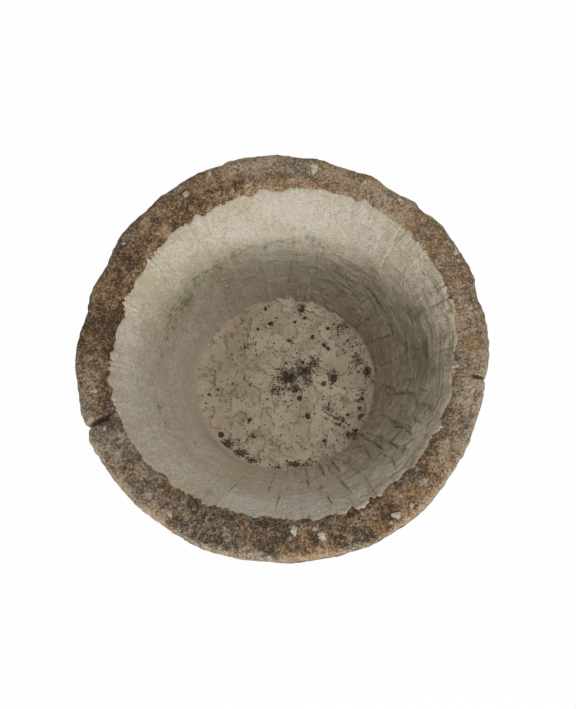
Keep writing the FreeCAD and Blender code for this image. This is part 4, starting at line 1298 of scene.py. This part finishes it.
def lining_finish(lining, floor):
    """Pale plaster with mottling, brush lines, damp streaks and green growth; painted shade in its creases,
    hollows and damp patches and browner towards the floor; painted light on its pale patches and at its foot.
    """
    look = Finish("trowelled_lining")
    place = look.tilted()
    wall = look.attribute("wall_place", "Vector")
    mottle = look.swing(place, 0.05, 5.0, 0.62, 1.0)
    grain = look.swing(place, 0.0060, 5.0, 0.80, 2.0)
    fine = look.swing(place, 0.0024, 2.0, 0.65, 7.0)
    brushed = look.attribute("brushed")
    brush = look.strayed(wall, 0.028, place, 0.04, 2.0, 0.5, 6.0)
    lines = look.streaks(brush, (22, 22, 165), 5.0, 0.76, 4.0)
    rough = grain + fine * 1.1 + lines * (0.18 + 0.6 * brushed)
    # Pale patches that are mostly painted light, which make the wall paler
    chalky = look.attribute("chalky")
    pale = mottle * 1.5 + rough * 1.5 + chalky * 0.30
    base = look.mix(look.rise(pale, -0.12, 0.36), lining.plaster, lining.chalk)
    drips = look.streaks(wall, (100, 100, 9), 4.0, 0.6, 3.0)
    level = look.part(look.place, "Z")
    base = look.mix(look.rise(drips + mottle * 0.4, -0.04, 0.20) * 0.12, base, lining.damp)
    # Damp stains, partly painted shade on the wall's shaded parts
    base = look.mix(look.attribute("damp") * (0.85 + mottle * 2.0 + rough * 1.2), base, lining.damp)
    # Painted shade and highlight on the brush lines: their grooves are darkened and their ridges made paler,
    # along the same noise as their bumps
    base = look.mix(look.rise(lines, -0.01, -0.11) * brushed * 0.70, base, lining.damp)
    ridge_highlight = look.mix(0.5, lining.plaster, lining.chalk)
    base = look.mix(look.rise(lines, 0.00, 0.10) * brushed * 0.95, base, ridge_highlight)
    algae = look.attribute("algae")
    base = look.mix(algae * (0.6 + drips * 1.6 + mottle * 1.6) * 0.52, base, lining.algae)
    strokes = look.streaks(brush, (80, 80, 170), 4.0, 0.70, 5.0)
    tufts = look.rise(strokes + drips * 0.25 + algae * 0.22, 0.09, 0.22)
    base = look.mix(tufts * look.rise(algae, 0.05, 0.45) * 0.85, base, lining.algae)
    # Painted shade in the hollows of the tool marks
    base = look.mix(look.rise(look.attribute("hollow"), 0.06, 0.45) * 0.30, base, lining.damp)
    base = look.mix(look.rise(rough, 0.08, -0.26) * (0.33 + 0.05 * brushed), base, lining.damp)
    # Painted light: the pale patches are made paler again
    base = look.mix(chalky * 0.25, base, lining.chalk)
    base = look.mix(look.attribute("lip") * look.rise(rough + mottle, -0.10, 0.25) * 0.45, base, lining.sandy)
    # Painted shade in the laps' creases and along the strokes' far ends; worn holds where that shade falls
    worn = look.maths("MAXIMUM", look.attribute("crease"), look.attribute("ends") * 0.62)
    crease = look.rise(worn + rough * 1.1, 0.40, 0.80)
    base = look.mix(crease * 0.56, base, lining.crease_shade)
    # Painted shade: browner and darker towards the floor, standing in for the deep wall's warm bounced light
    base = look.mix(look.rise(level, 0.26, 0.15) * 0.30, base, lining.sandy)
    # Painted light at the foot: where the wall runs softly into the floor, it is made paler to lift the
    # corner's shade, and takes on the floor's lime
    foot = look.rise(level + mottle * 0.06 + grain * 0.03, 0.158, 0.122) * look.attribute("coved")
    base = look.mix(foot * 0.90, base, look.mix(0.6, floor.lime, lining.chalk))
    height = (grain + fine * 0.7) * 1.1 + lines * (0.2 + 2.2 * brushed) - crease * 0.3
    return look.close(base, 0.9 + 0.1 * grain, height, 0.0048, specular=0.22)


class PLANTER_OT_coat_wall(bpy.types.Operator):
    """Makes the trowelled lining of the hollow's wall"""

    bl_idname = "planter.coat_wall"
    bl_label = "Coat wall"

    def execute(self, context):
        planter = context.scene.planter
        base = lining_base(planter.stone, planter.lining)
        finish = lining_finish(planter.lining, planter.floor)
        piece = grow("wall_lining", base, lining_tree(), finish, planter.lining, seed=2.0)
        settle(piece, "render", "wall_render")
        return {"FINISHED"}


# Floor
FLOOR_CELLS = 270
WALL_LEAN = 0.27
INTO_WALL = 0.0015
CLIMB_LIMITS = (0.0002, 0.0065)
STAIN_DEPTH = 0.0016
UNDERSIDE_SHARE = 0.955


def disc_grid(cells, radius):
    """An even square grid pressed into a disc."""
    step = np.linspace(-1, 1, cells + 1)
    x, y = np.meshgrid(step, step)
    reach = np.maximum(np.abs(x), np.abs(y))
    along_x = np.abs(x) >= np.abs(y)
    turned = np.where(along_x, y / np.where(x == 0, 1, x), x / np.where(y == 0, 1, y)) * math.pi / 4
    disc_x = np.where(along_x, np.cos(turned) * x, np.sin(turned) * y)
    disc_y = np.where(along_x, np.sin(turned) * x, np.cos(turned) * y)
    return disc_x * radius, disc_y * radius, reach * radius


def patch_mask(rows, x, y):
    """Where the patches of a table lie on the floor, from 0 to 1."""
    total = np.zeros_like(x)
    for patch_x, patch_y, half_x, half_y, strength in rows:
        away = ((x - patch_x * MM) / (half_x * MM)) ** 2 + ((y - patch_y * MM) / (half_y * MM)) ** 2
        total = np.maximum(total, strength * np.exp(-away))
    return total


def floor_base(floor):
    """The floor's disc with its measured pits and rough patches, closed below."""
    outer = floor.radius + INTO_WALL
    x, y, reach = disc_grid(FLOOR_CELLS, outer)
    round_at = np.degrees(np.arctan2(y, x))
    soft = cove_share(round_at)
    climb = floor.climb * (1 + 0.8 * ring_noise(round_at, 3, 14, 8) + 0.25 * ring_noise(round_at, 18, 70, 9))
    climb = np.clip(climb * (0.6 + 1.5 * soft), *CLIMB_LIMITS)
    widened = 1 + WALL_LEAN * climb / outer * (reach / outer) ** 12
    x, y, reach = x * widened, y * widened, reach * widened
    outer = outer + WALL_LEAN * climb
    sunk, shade = np.zeros_like(x), np.zeros_like(x)
    warp_x = 0.0010 * np.sin(y * 1500 + 1.7 * np.sin(x * 900)) + 0.0007 * np.sin(y * 3100 + x * 1300)
    warp_y = 0.0010 * np.sin(x * 1400 + 1.9 * np.sin(y * 800 + 1)) + 0.0007 * np.sin(x * 2900 - y * 1500)
    for pit_x, pit_y, half, depth in FLOOR_PITS:
        away = np.hypot(x + warp_x - pit_x * MM, y + warp_y - pit_y * MM) / (half * 0.85 * MM)
        bowl = smooth(-away, -1.15, -0.45)
        sunk = np.maximum(sunk, bowl * depth * MM)
        # Painted shade of each pit, the darker the deeper
        shade = np.maximum(shade, bowl * min(1, depth / 2.4))
    grit = patch_mask(GRIT_PATCHES, x, y)
    stained = patch_mask(FLOOR_STAINS, x + warp_x * 3, y + warp_y * 3)
    cove = (climb + 0.001) * np.exp(-(outer - reach) / (0.004 + 0.010 * soft))
    level = floor.height - sunk - STAIN_DEPTH * stained + cove
    edge = soft * np.exp(-(outer - reach) / 0.024)
    top = np.stack([x, y, level], axis=-1)
    cells = FLOOR_CELLS + 1
    faces = grid_faces(cells, cells)
    number = np.arange(cells * cells).reshape(cells, cells)
    loop = np.concatenate([number[0, :-1], number[:-1, -1], number[-1, :0:-1], number[:0:-1, 0]])
    lower = top.reshape(-1, 3)[loop] * (UNDERSIDE_SHARE, UNDERSIDE_SHARE, 1)
    lower[:, 2] = floor.height - floor.thickness
    count, first = len(loop), cells * cells
    for one in range(count):
        two = (one + 1) % count
        faces.append([int(loop[two]), int(loop[one]), first + one, first + two])
    faces.append([first + one for one in reversed(range(count))])
    points = np.vstack([top.reshape(-1, 3), lower])
    inside = smooth(outer - reach, 0.0, 0.004)
    # sunk carries the painted shade of the pits
    masks = {"grit": grit, "sunk": shade, "stained": stained, "shows": inside, "edge": edge}
    masks = {label: np.append(mask, np.zeros(count)) for label, mask in masks.items()}
    return plain_mesh("floor", points, faces, flat=1, **masks)


def floor_tree():
    """Unevenness of the floor: broad waves, flakes, crumbly patches and small pores."""
    tree = ShapeTree("Sandy floor", "wave_height", "crumb_height", "flake_height", "pore_depth", "seed")
    place, seed, grit = tree.place, tree.size("seed"), tree.attribute("grit")
    waves = tree.swing(place, 0.055, 3.0, 0.55, seed)
    flakes = tree.rise(tree.noise(place, 0.030, 6.0, 0.62, seed + 1.0), 0.485, 0.515)
    crumbs = tree.swing(place, 0.0070, 3.0, 0.70, seed + 2.0)
    thick = tree.rise(tree.noise(place, 0.030, 3.0, 0.6, seed + 4.0) + grit * 0.35, 0.54, 0.74)
    pores = tree.dots(place, 0.0058, (0.70, 0.80), (0.46, 0.16)) * thick
    height = waves * tree.size("wave_height") + crumbs * (0.55 + grit) * tree.size("crumb_height")
    height = height + (flakes - 0.5) * tree.size("flake_height")
    height = (height - pores * tree.size("pore_depth")) * tree.attribute("shows")
    shape = tree.push(tree.entry, height)
    shape = tree.store(shape, "flakes", flakes)
    gaps = grit * tree.rise(crumbs, 0.08, -0.10) * 0.9
    # How sunken each pore, pit and gap is, which the finish darkens as painted shade
    hollow = tree.maths("MAXIMUM", tree.attribute("sunk"), pores) + gaps
    return tree.close(tree.store(shape, "hollow", hollow))


def floor_finish(floor, lining):
    """Sandy screed with lime patches, brown stains, dark grit and fine specks, and plaster along the wall;
    painted shade in its pits, pores and gaps and along its flakes' edges.
    """
    look = Finish("sandy_screed")
    place = look.tilted()
    cloud = look.swing(place, 0.045, 5.0, 0.62, 1.0)
    grain = look.swing(place, 0.0042, 4.0, 0.76, 2.0)
    fine = look.swing(place, 0.0018, 2.0, 0.65, 4.0)
    rough = grain + fine * 0.7
    flakes = look.attribute("flakes")
    base = look.mix(look.rise(cloud + rough * 0.7 + flakes * 0.10, -0.03, 0.17), floor.sand, floor.lime)
    stains = look.rise(look.swing(place, 0.024, 6.0, 0.68, 3.0) - flakes * 0.05, -0.01, 0.15)
    base = look.mix(stains * 0.52, base, floor.stain)
    base = look.mix(look.attribute("stained") * (0.75 + rough * 2.0 + cloud * 2.0), base, floor.stain)
    across = look.part(look.place, "X")
    base = look.mix(look.rise(across + cloud * 0.1, 0.0, -0.13) * 0.30, base, floor.stain)
    plastered = look.rise(look.attribute("edge") + cloud * 0.9 + rough * 0.5, 0.15, 0.85)
    base = look.mix(plastered * 0.75, base, look.mix(0.5, lining.sandy, lining.plaster))
    # Painted shade along the steps at the flakes' edges
    base = look.mix(flakes * (1 - flakes) * 2.4 * look.rise(rough, 0.10, -0.12), base, floor.stain)
    base = look.mix(look.rise(rough, -0.06, -0.30) * 0.55, base, floor.stain)
    grit = look.attribute("grit")
    specks = look.rise(look.lottery(place, 0.0030), 0.960 - 0.70 * grit, 0.985 - 0.70 * grit)
    specks = specks * look.rise(look.cells(place, 0.0030) + grain * 0.8, 0.72, 0.40)
    base = look.mix(look.rise(grit + rough * 0.8, 0.15, 0.95) * 0.85, base, floor.stain)
    base = look.mix(look.rise(grit + rough * 1.2, 0.52, 1.00) * 0.85, base, floor.pit)
    base = look.mix(specks * 0.88, base, floor.pit)
    # Painted shade in the pits, pores and gaps between crumbs
    base = look.mix(look.rise(look.attribute("hollow") + grain * 0.5, 0.20, 0.70) * 0.92, base, floor.pit)
    return look.close(base, 0.9 + 0.1 * grain, rough * 1.2 - specks * 0.3, 0.0030, specular=0.22)


class PLANTER_OT_lay_floor(bpy.types.Operator):
    """Makes the pitted sandy floor"""

    bl_idname = "planter.lay_floor"
    bl_label = "Lay floor"

    def execute(self, context):
        floor = context.scene.planter.floor
        finish = floor_finish(floor, context.scene.planter.lining)
        piece = grow("screed_floor", floor_base(floor), floor_tree(), finish, floor, seed=4.0)
        settle(piece, "screed", "floor_screed")
        return {"FINISHED"}


# Pebbles and grit
PEBBLE_SHAPE = (1, 0.8, 0.7)
MEAN_PEBBLE = 0.012


def pebble_tree():
    """Sets an uneven pebble at each point, by the point's own girth and turn."""
    tree = ShapeTree("Bedded pebbles", "lumpiness", "seed")
    ball = tree.add("GeometryNodeMeshIcoSphere", {"Radius": 1.0, "Subdivisions": 4})
    sockets = {
        "Points": tree.entry, "Instance": ball, "Scale": tree.attribute("girth", "FLOAT_VECTOR"),
        "Rotation": tree.attribute("turn", "FLOAT_VECTOR"),
    }
    laid = tree.add("GeometryNodeInstanceOnPoints", sockets)
    real = tree.add("GeometryNodeRealizeInstances", {"Geometry": laid})
    spread = tree.swing(tree.place, 0.006, 2.0, 0.5, tree.size("seed"))
    shape = tree.push(real, spread * tree.size("lumpiness") * MEAN_PEBBLE)
    return tree.close(shape)


def pebble_points(name, rows, pebbles, floor):
    """One point for each pebble, at its centre, with its half sizes and turn."""
    points, girths, turns = [], [], []
    for share_x, share_y, size_name, degrees in rows:
        half = getattr(pebbles, size_name) / 2
        halves = [half * share for share in PEBBLE_SHAPE]
        level = floor.height + pebbles.stand - halves[2]
        points.append((share_x * floor.radius, share_y * floor.radius, level))
        girths.append(halves)
        turns.append((0.0, 0.0, math.radians(degrees)))
    mesh = bpy.data.meshes.new(name)
    mesh.from_pydata(points, [], [])
    carry(mesh, girth=girths, turn=turns)
    return mesh


def pebble_finish(name, main, vein):
    """A worn pebble with clouding and a dusty top."""
    look = Finish(name)
    cloud = look.noise(look.place, 0.006, 4.0, 0.6, 1.0)
    fine = look.noise(look.place, 0.0014, 3.0, 0.6, 2.0)
    base = look.mix(look.rise(cloud, 0.40, 0.65), main, vein)
    base = look.mix(look.rise(fine, 0.58, 0.72) * 0.30, base, (0.300, 0.245, 0.180))
    return look.close(base, 0.60 + 0.3 * cloud, fine, 0.0006, specular=0.25)


class PLANTER_OT_bed_pebbles(bpy.types.Operator):
    """Beds the brown and the dark pebbles in the floor"""

    bl_idname = "planter.bed_pebbles"
    bl_label = "Bed pebbles"

    def execute(self, context):
        planter = context.scene.planter
        tree, pebbles = pebble_tree(), planter.pebbles
        brown = pebble_finish("brown_pebble", pebbles.brown, (0.140, 0.090, 0.055))
        dark = pebble_finish("dark_pebble", pebbles.dark, (0.070, 0.056, 0.042))
        for rows, kind, finish in ((BROWN_PEBBLES, "brown", brown), (DARK_PEBBLES, "dark", dark)):
            points = pebble_points(kind, rows, pebbles, planter.floor)
            piece = grow(f"{kind}_floor_pebbles", points, tree, finish, pebbles, seed=2.0)
            settle(piece, f"{kind}_pebble", f"{kind}_pebbles")
        return {"FINISHED"}


def grit_tree():
    """Scatters grit over the floor's rough patches."""
    tree = ShapeTree("Scattered grit", "grains", "grain_size", "seed")
    thick = tree.rise(tree.noise(tree.place, 0.012, 2.0, 0.6, tree.size("seed")), 0.42, 0.62)
    density = tree.size("grains") * (tree.attribute("grit") ** 1.4 * thick + 0.006)
    density = density * tree.attribute("shows")
    spots = tree.add(
        "GeometryNodeDistributePointsOnFaces", {"Mesh": tree.entry, "Density": density, "Seed": 11},
        distribute_method="RANDOM",
    )
    grain = tree.add("GeometryNodeMeshIcoSphere", {"Radius": 1.0, "Subdivisions": 1})
    reach = (tree.draw(0.0, 1.0, 5) ** 2.5 * 0.72 + 0.28) * tree.size("grain_size")
    squash = tree.draw((0.7, 0.7, 0.45), (1.3, 1.3, 0.9), 6)
    spin = tree.draw((-0.6, -0.6, 0.0), (0.6, 0.6, math.tau), 7)
    sockets = {"Points": spots, "Instance": grain, "Rotation": spin, "Scale": tree.scaled(squash, reach)}
    laid = tree.add("GeometryNodeInstanceOnPoints", sockets)
    return tree.close(tree.store(laid, "tone", tree.draw(0.0, 1.0, 8), "INSTANCE"))


def grit_finish(pebbles, floor):
    """Grit grains, most of them dark, some brown and a few sandy."""
    look = Finish("floor_grit")
    tone = look.attribute("tone")
    base = look.mix(look.rise(tone, 0.55, 0.80), floor.pit, pebbles.brown)
    base = look.mix(look.rise(tone, 0.86, 0.95), base, floor.stain)
    fine = look.noise(look.place, 0.001, 2.0, 0.6, 1.0)
    return look.close(base, 0.7 + 0.2 * fine, fine, 0.0003)


class PLANTER_OT_scatter_grit(bpy.types.Operator):
    """Scatters grit over the floor"""

    bl_idname = "planter.scatter_grit"
    bl_label = "Scatter grit"

    def execute(self, context):
        planter = context.scene.planter
        ground = bpy.data.objects["screed_floor"].data.copy()
        finish = grit_finish(planter.pebbles, planter.floor)
        piece = grow("floor_grit", ground, grit_tree(), finish, planter.floor, seed=3.0)
        settle(piece, "dark_pebble")
        return {"FINISHED"}


# Lime crusts
CRUST_RINGS = 7
CRUST_SPOKES = 30
CRUST_ROOT = -0.9
CRUST_LIFT = 0.001
MERGE_DISTANCE = 0.00001


def crust_patch(rng, centre, half_length, half_width, degrees, east, north):
    """A flat uneven patch round a centre: its points and their heights as shares of the thickness."""
    spokes = np.arange(CRUST_SPOKES) * math.tau / CRUST_SPOKES
    uneven = np.ones_like(spokes)
    for waves in range(2, 13):
        uneven += rng.normal() * 0.16 / math.sqrt(waves) * np.sin(waves * spokes + rng.uniform(0, math.tau))
    uneven = np.clip(uneven, 0.45, 1.5)
    rings = np.linspace(0, 1, CRUST_RINGS + 1)[1:, None]
    x, y = half_length * rings * uneven * np.cos(spokes), half_width * rings * uneven * np.sin(spokes)
    lean = math.radians(degrees)
    x, y = x * math.cos(lean) - y * math.sin(lean), x * math.sin(lean) + y * math.cos(lean)
    flat = centre + x[..., None] * east + y[..., None] * north
    lumps = 1 + 0.35 * rng.normal(size=x.shape)
    high = np.where(rings < 1, (1 - rings**3) * np.clip(lumps, 0.35, 1.7), CRUST_ROOT) * np.ones_like(x)
    return np.vstack([centre[None], flat.reshape(-1, 3)]), np.append(1.0, high.ravel())


def crust_base(stone):
    """All crusts as flat patches beside the stone, each with an upper and a lower face."""
    rng = np.random.default_rng(21)
    points, rays, highs, faces = [], [], [], []
    places = [(angle, radius * MM, None, *rest) for angle, radius, *rest in RIM_CRUSTS]
    places += [(angle, None, level * MM, *rest) for angle, level, *rest in FLANK_CRUSTS]
    for angle, radius, level, half_length, half_width, degrees in places:
        arc = math.radians(angle)
        out, east = np.array((math.cos(arc), math.sin(arc), 0)), np.array((-math.sin(arc), math.cos(arc), 0))
        if level is None:
            centre = out * radius + (0, 0, stone.height + CRUST_LIFT)
            north, ray = out, np.array((0, 0, -1.0))
        else:
            share = stone.foot_share + (1 - stone.foot_share) * level / stone.height
            reach = flank_radius(stone, level) + share * float(hewn_swell(np.array(angle, float)))
            centre, north, ray = out * reach + (0, 0, level), np.array((0, 0, 1.0)), -out
        patch, high = crust_patch(rng, centre, half_length * MM, half_width * MM, degrees, east, north)
        for side, heights in ((1, high), (-1, np.full_like(high, CRUST_ROOT))):
            first = sum(len(part) for part in points)
            ring = first + 1
            heart = [[first, ring + one, ring + (one + 1) % CRUST_SPOKES] for one in range(CRUST_SPOKES)]
            quads = grid_faces(CRUST_RINGS, CRUST_SPOKES, close_columns=True)
            shell = heart + [[ring + corner for corner in quad][::-1] for quad in quads]
            faces += shell if side > 0 else [face[::-1] for face in shell]
            points.append(patch)
            rays.append(np.tile(ray, (len(patch), 1)))
            highs.append(heights)
    mesh = bpy.data.meshes.new("crusts")
    mesh.from_pydata(np.vstack(points).tolist(), [], faces)
    mesh.shade_smooth()
    carry(mesh, ray=np.vstack(rays), high=np.concatenate(highs))
    return mesh


def crust_tree(stones):
    """Lays each crust on the nearest stone and gives it its height."""
    tree = ShapeTree("Crusts on stone", "thickness")
    bodies = [
        tree.add("GeometryNodeObjectInfo", {"Object": stone}, "Geometry", transform_space="RELATIVE")
        for stone in stones
    ]
    target = tree.add("GeometryNodeJoinGeometry", {0: bodies})
    ray = tree.attribute("ray", "FLOAT_VECTOR")
    landed = tree.add("GeometryNodeProximity", {0: target}, "Position", target_element="FACES")
    high = tree.attribute("high") * tree.size("thickness") * -1.0
    spot = tree.vectors("ADD", landed, tree.scaled(ray, high))
    laid = tree.add("GeometryNodeSetPosition", {"Geometry": tree.entry, "Position": spot})
    whole = tree.add("GeometryNodeMergeByDistance", {"Geometry": laid, "Distance": MERGE_DISTANCE})
    return tree.close(whole)


def crust_finish(crusts, stone):
    """Chalky crust, worn through to the stone here and there and along its thin edges."""
    look = Finish("lime_crust")
    cloud = look.swing(look.place, 0.006, 5.0, 0.70, 1.0)
    fine = look.swing(look.place, 0.002, 2.0, 0.65, 2.0)
    base = look.mix(look.rise(cloud + fine * 0.5, -0.16, 0.14), crusts.shade, crusts.chalk)
    thin = look.rise(look.attribute("high") + cloud * 2.4 + fine * 1.2, 0.50, 0.0)
    base = look.mix(thin * 0.9, base, look.mix(look.rise(cloud + fine, -0.12, 0.12), stone.brown, stone.tan))
    level = look.part(look.place, "Z")
    base = look.mix(look.rise(level, 0.335, 0.310) * 0.75, base, stone.bleached)
    return look.close(base, 0.9 + 0.08 * cloud, cloud + fine * 0.6, 0.0016, specular=0.2)


class PLANTER_OT_grow_crusts(bpy.types.Operator):
    """Lays lime crusts on the rim and the flank"""

    bl_idname = "planter.grow_crusts"
    bl_label = "Grow crusts"

    def execute(self, context):
        planter = context.scene.planter
        stones = [bpy.data.objects[name] for name in ("rear_stone_hewn", "front_stone_hewn")]
        finish = crust_finish(planter.crusts, planter.stone)
        base = crust_base(planter.stone)
        piece = grow("lime_crusts", base, crust_tree(stones), finish, planter.crusts)
        settle(piece, "render")
        return {"FINISHED"}


# Stage: the ground in metres, and each soft box by its place, width and height
GROUND_RADIUS = 7.0
GROUND_SIDES = 96
GROUND_DROP = 0.0004
PAPER_WHITE = 0.97
FILM_WIDTH = 36.0
LAMP_AIM = Vector((0, 0, 0.33))
LOW_BOX = (Vector((0.0, -2.55, 0.83)), 1.8, 0.36)
HIGH_BOX = (Vector((0.90, 0.0, 2.55)), 1.75, 1.75)


def paper_finish(stage):
    """A matte ground that the camera sees as white paper with a faint shadow."""
    look = Finish("paper_ground")
    matte = look.add("ShaderNodeBsdfDiffuse", {"Color": as_colour(stage.paper)})
    white = look.add("ShaderNodeEmission", {"Color": (1, 1, 1, 1), "Strength": 1.0})
    mixed = look.add("ShaderNodeMixShader", {0: look.seen() * PAPER_WHITE, 1: matte, 2: white})
    look.add("ShaderNodeOutputMaterial", {"Surface": mixed}, None)
    return look.material


def light_dome(scene, strength):
    """Even light from all round, which the camera sees as white."""
    world = bpy.data.worlds.new("light_dome")
    world.use_nodes = True
    scene.world = world
    sketch = Sketch(world.node_tree)
    sketch.tree.nodes.clear()
    glow = sketch.add("ShaderNodeBackground", {"Color": (1, 1, 1, 1), "Strength": strength})
    white = sketch.add("ShaderNodeBackground", {"Color": (1, 1, 1, 1), "Strength": 1.0})
    mixed = sketch.add("ShaderNodeMixShader", {0: sketch.seen(), 1: glow, 2: white})
    sketch.add("ShaderNodeOutputWorld", {"Surface": mixed}, None)


def soft_lamp(scene, name, power, place, width, height):
    """A broad rectangular lamp that faces the middle of the rim."""
    lamp = bpy.data.lights.new(name, "AREA")
    lamp.shape = "RECTANGLE"
    lamp.size, lamp.size_y, lamp.energy = width, height, power
    holder = bpy.data.objects.new(name, lamp)
    holder.location = place
    holder.rotation_euler = (LAMP_AIM - place).to_track_quat("-Z", "Y").to_euler()
    holder.visible_camera = False
    scene.collection.objects.link(holder)


def eye(scene, stage):
    """The camera at the photograph's angle."""
    lens = bpy.data.cameras.new("eye")
    lens.lens, lens.sensor_width, lens.clip_start = stage.lens, FILM_WIDTH, 0.01
    level, turned = math.cos(stage.elevation), stage.azimuth
    back = Vector((math.sin(turned) * level, -math.cos(turned) * level, math.sin(stage.elevation)))
    holder = bpy.data.objects.new("eye", lens)
    holder.location = Vector(stage.aim) + back * stage.distance
    holder.rotation_mode = "QUATERNION"
    holder.rotation_quaternion = (-back).to_track_quat("-Z", "Y") @ Quaternion((0, 0, 1), stage.roll)
    scene.collection.objects.link(holder)
    scene.camera = holder


class PLANTER_OT_set_stage(bpy.types.Operator):
    """Sets the ground, the lights and the camera"""

    bl_idname = "planter.set_stage"
    bl_label = "Set stage"

    def execute(self, context):
        scene, stage = context.scene, context.scene.planter.stage
        scene.view_settings.view_transform = "Standard"
        mesh = bpy.data.meshes.new("paper_ground")
        spokes = [math.tau * one / GROUND_SIDES for one in range(GROUND_SIDES)]
        rim = [(GROUND_RADIUS * math.cos(way), GROUND_RADIUS * math.sin(way), -GROUND_DROP) for way in spokes]
        mesh.from_pydata(rim, [], [list(range(GROUND_SIDES))])
        mesh.materials.append(paper_finish(stage))
        ground = bpy.data.objects.new("paper_ground", mesh)
        scene.collection.objects.link(ground)
        light_dome(scene, stage.dome)
        soft_lamp(scene, "low_soft_box", stage.low, *LOW_BOX)
        soft_lamp(scene, "high_soft_box", stage.high, *HIGH_BOX)
        eye(scene, stage)
        return {"FINISHED"}


STEPS = (
    PLANTER_OT_hew_stones, PLANTER_OT_finish_joints, PLANTER_OT_coat_wall, PLANTER_OT_lay_floor,
    PLANTER_OT_bed_pebbles, PLANTER_OT_scatter_grit, PLANTER_OT_grow_crusts, PLANTER_OT_set_stage,
)


class PLANTER_PT_panel(bpy.types.Panel):
    """Lists the planter's steps and settings"""

    bl_label = "Hewn Stone Planter"
    bl_idname = "PLANTER_PT_panel"
    bl_space_type = "VIEW_3D"
    bl_region_type = "UI"
    bl_category = "Planter"

    def draw(self, context):
        layout, planter = self.layout, context.scene.planter
        for step in STEPS:
            layout.operator(step.bl_idname)
        for group in ("stone", "lining", "floor", "pebbles", "crusts", "stage"):
            box = layout.box()
            box.label(text=group.title())
            settings = getattr(planter, group)
            for name in settings.__annotations__:
                box.prop(settings, name)


CLASSES = (
    StoneSettings, LiningSettings, FloorSettings, PebbleSettings, CrustSettings, StageSettings,
    PlanterSettings, *STEPS, PLANTER_PT_panel,
)


def register():
    """Adds the planter's classes and settings."""
    for item in CLASSES:
        bpy.utils.register_class(item)
    bpy.types.Scene.planter = PointerProperty(type=PlanterSettings)


def unregister():
    """Takes the planter's classes and settings away."""
    del bpy.types.Scene.planter
    for item in reversed(CLASSES):
        bpy.utils.unregister_class(item)


def main():
    register()
    bpy.ops.planter.hew_stones()
    bpy.ops.planter.finish_joints()
    bpy.ops.planter.coat_wall()
    bpy.ops.planter.lay_floor()
    bpy.ops.planter.bed_pebbles()
    bpy.ops.planter.scatter_grit()
    bpy.ops.planter.grow_crusts()
    bpy.ops.planter.set_stage()
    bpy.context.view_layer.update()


if __name__ == "__main__":
    main()
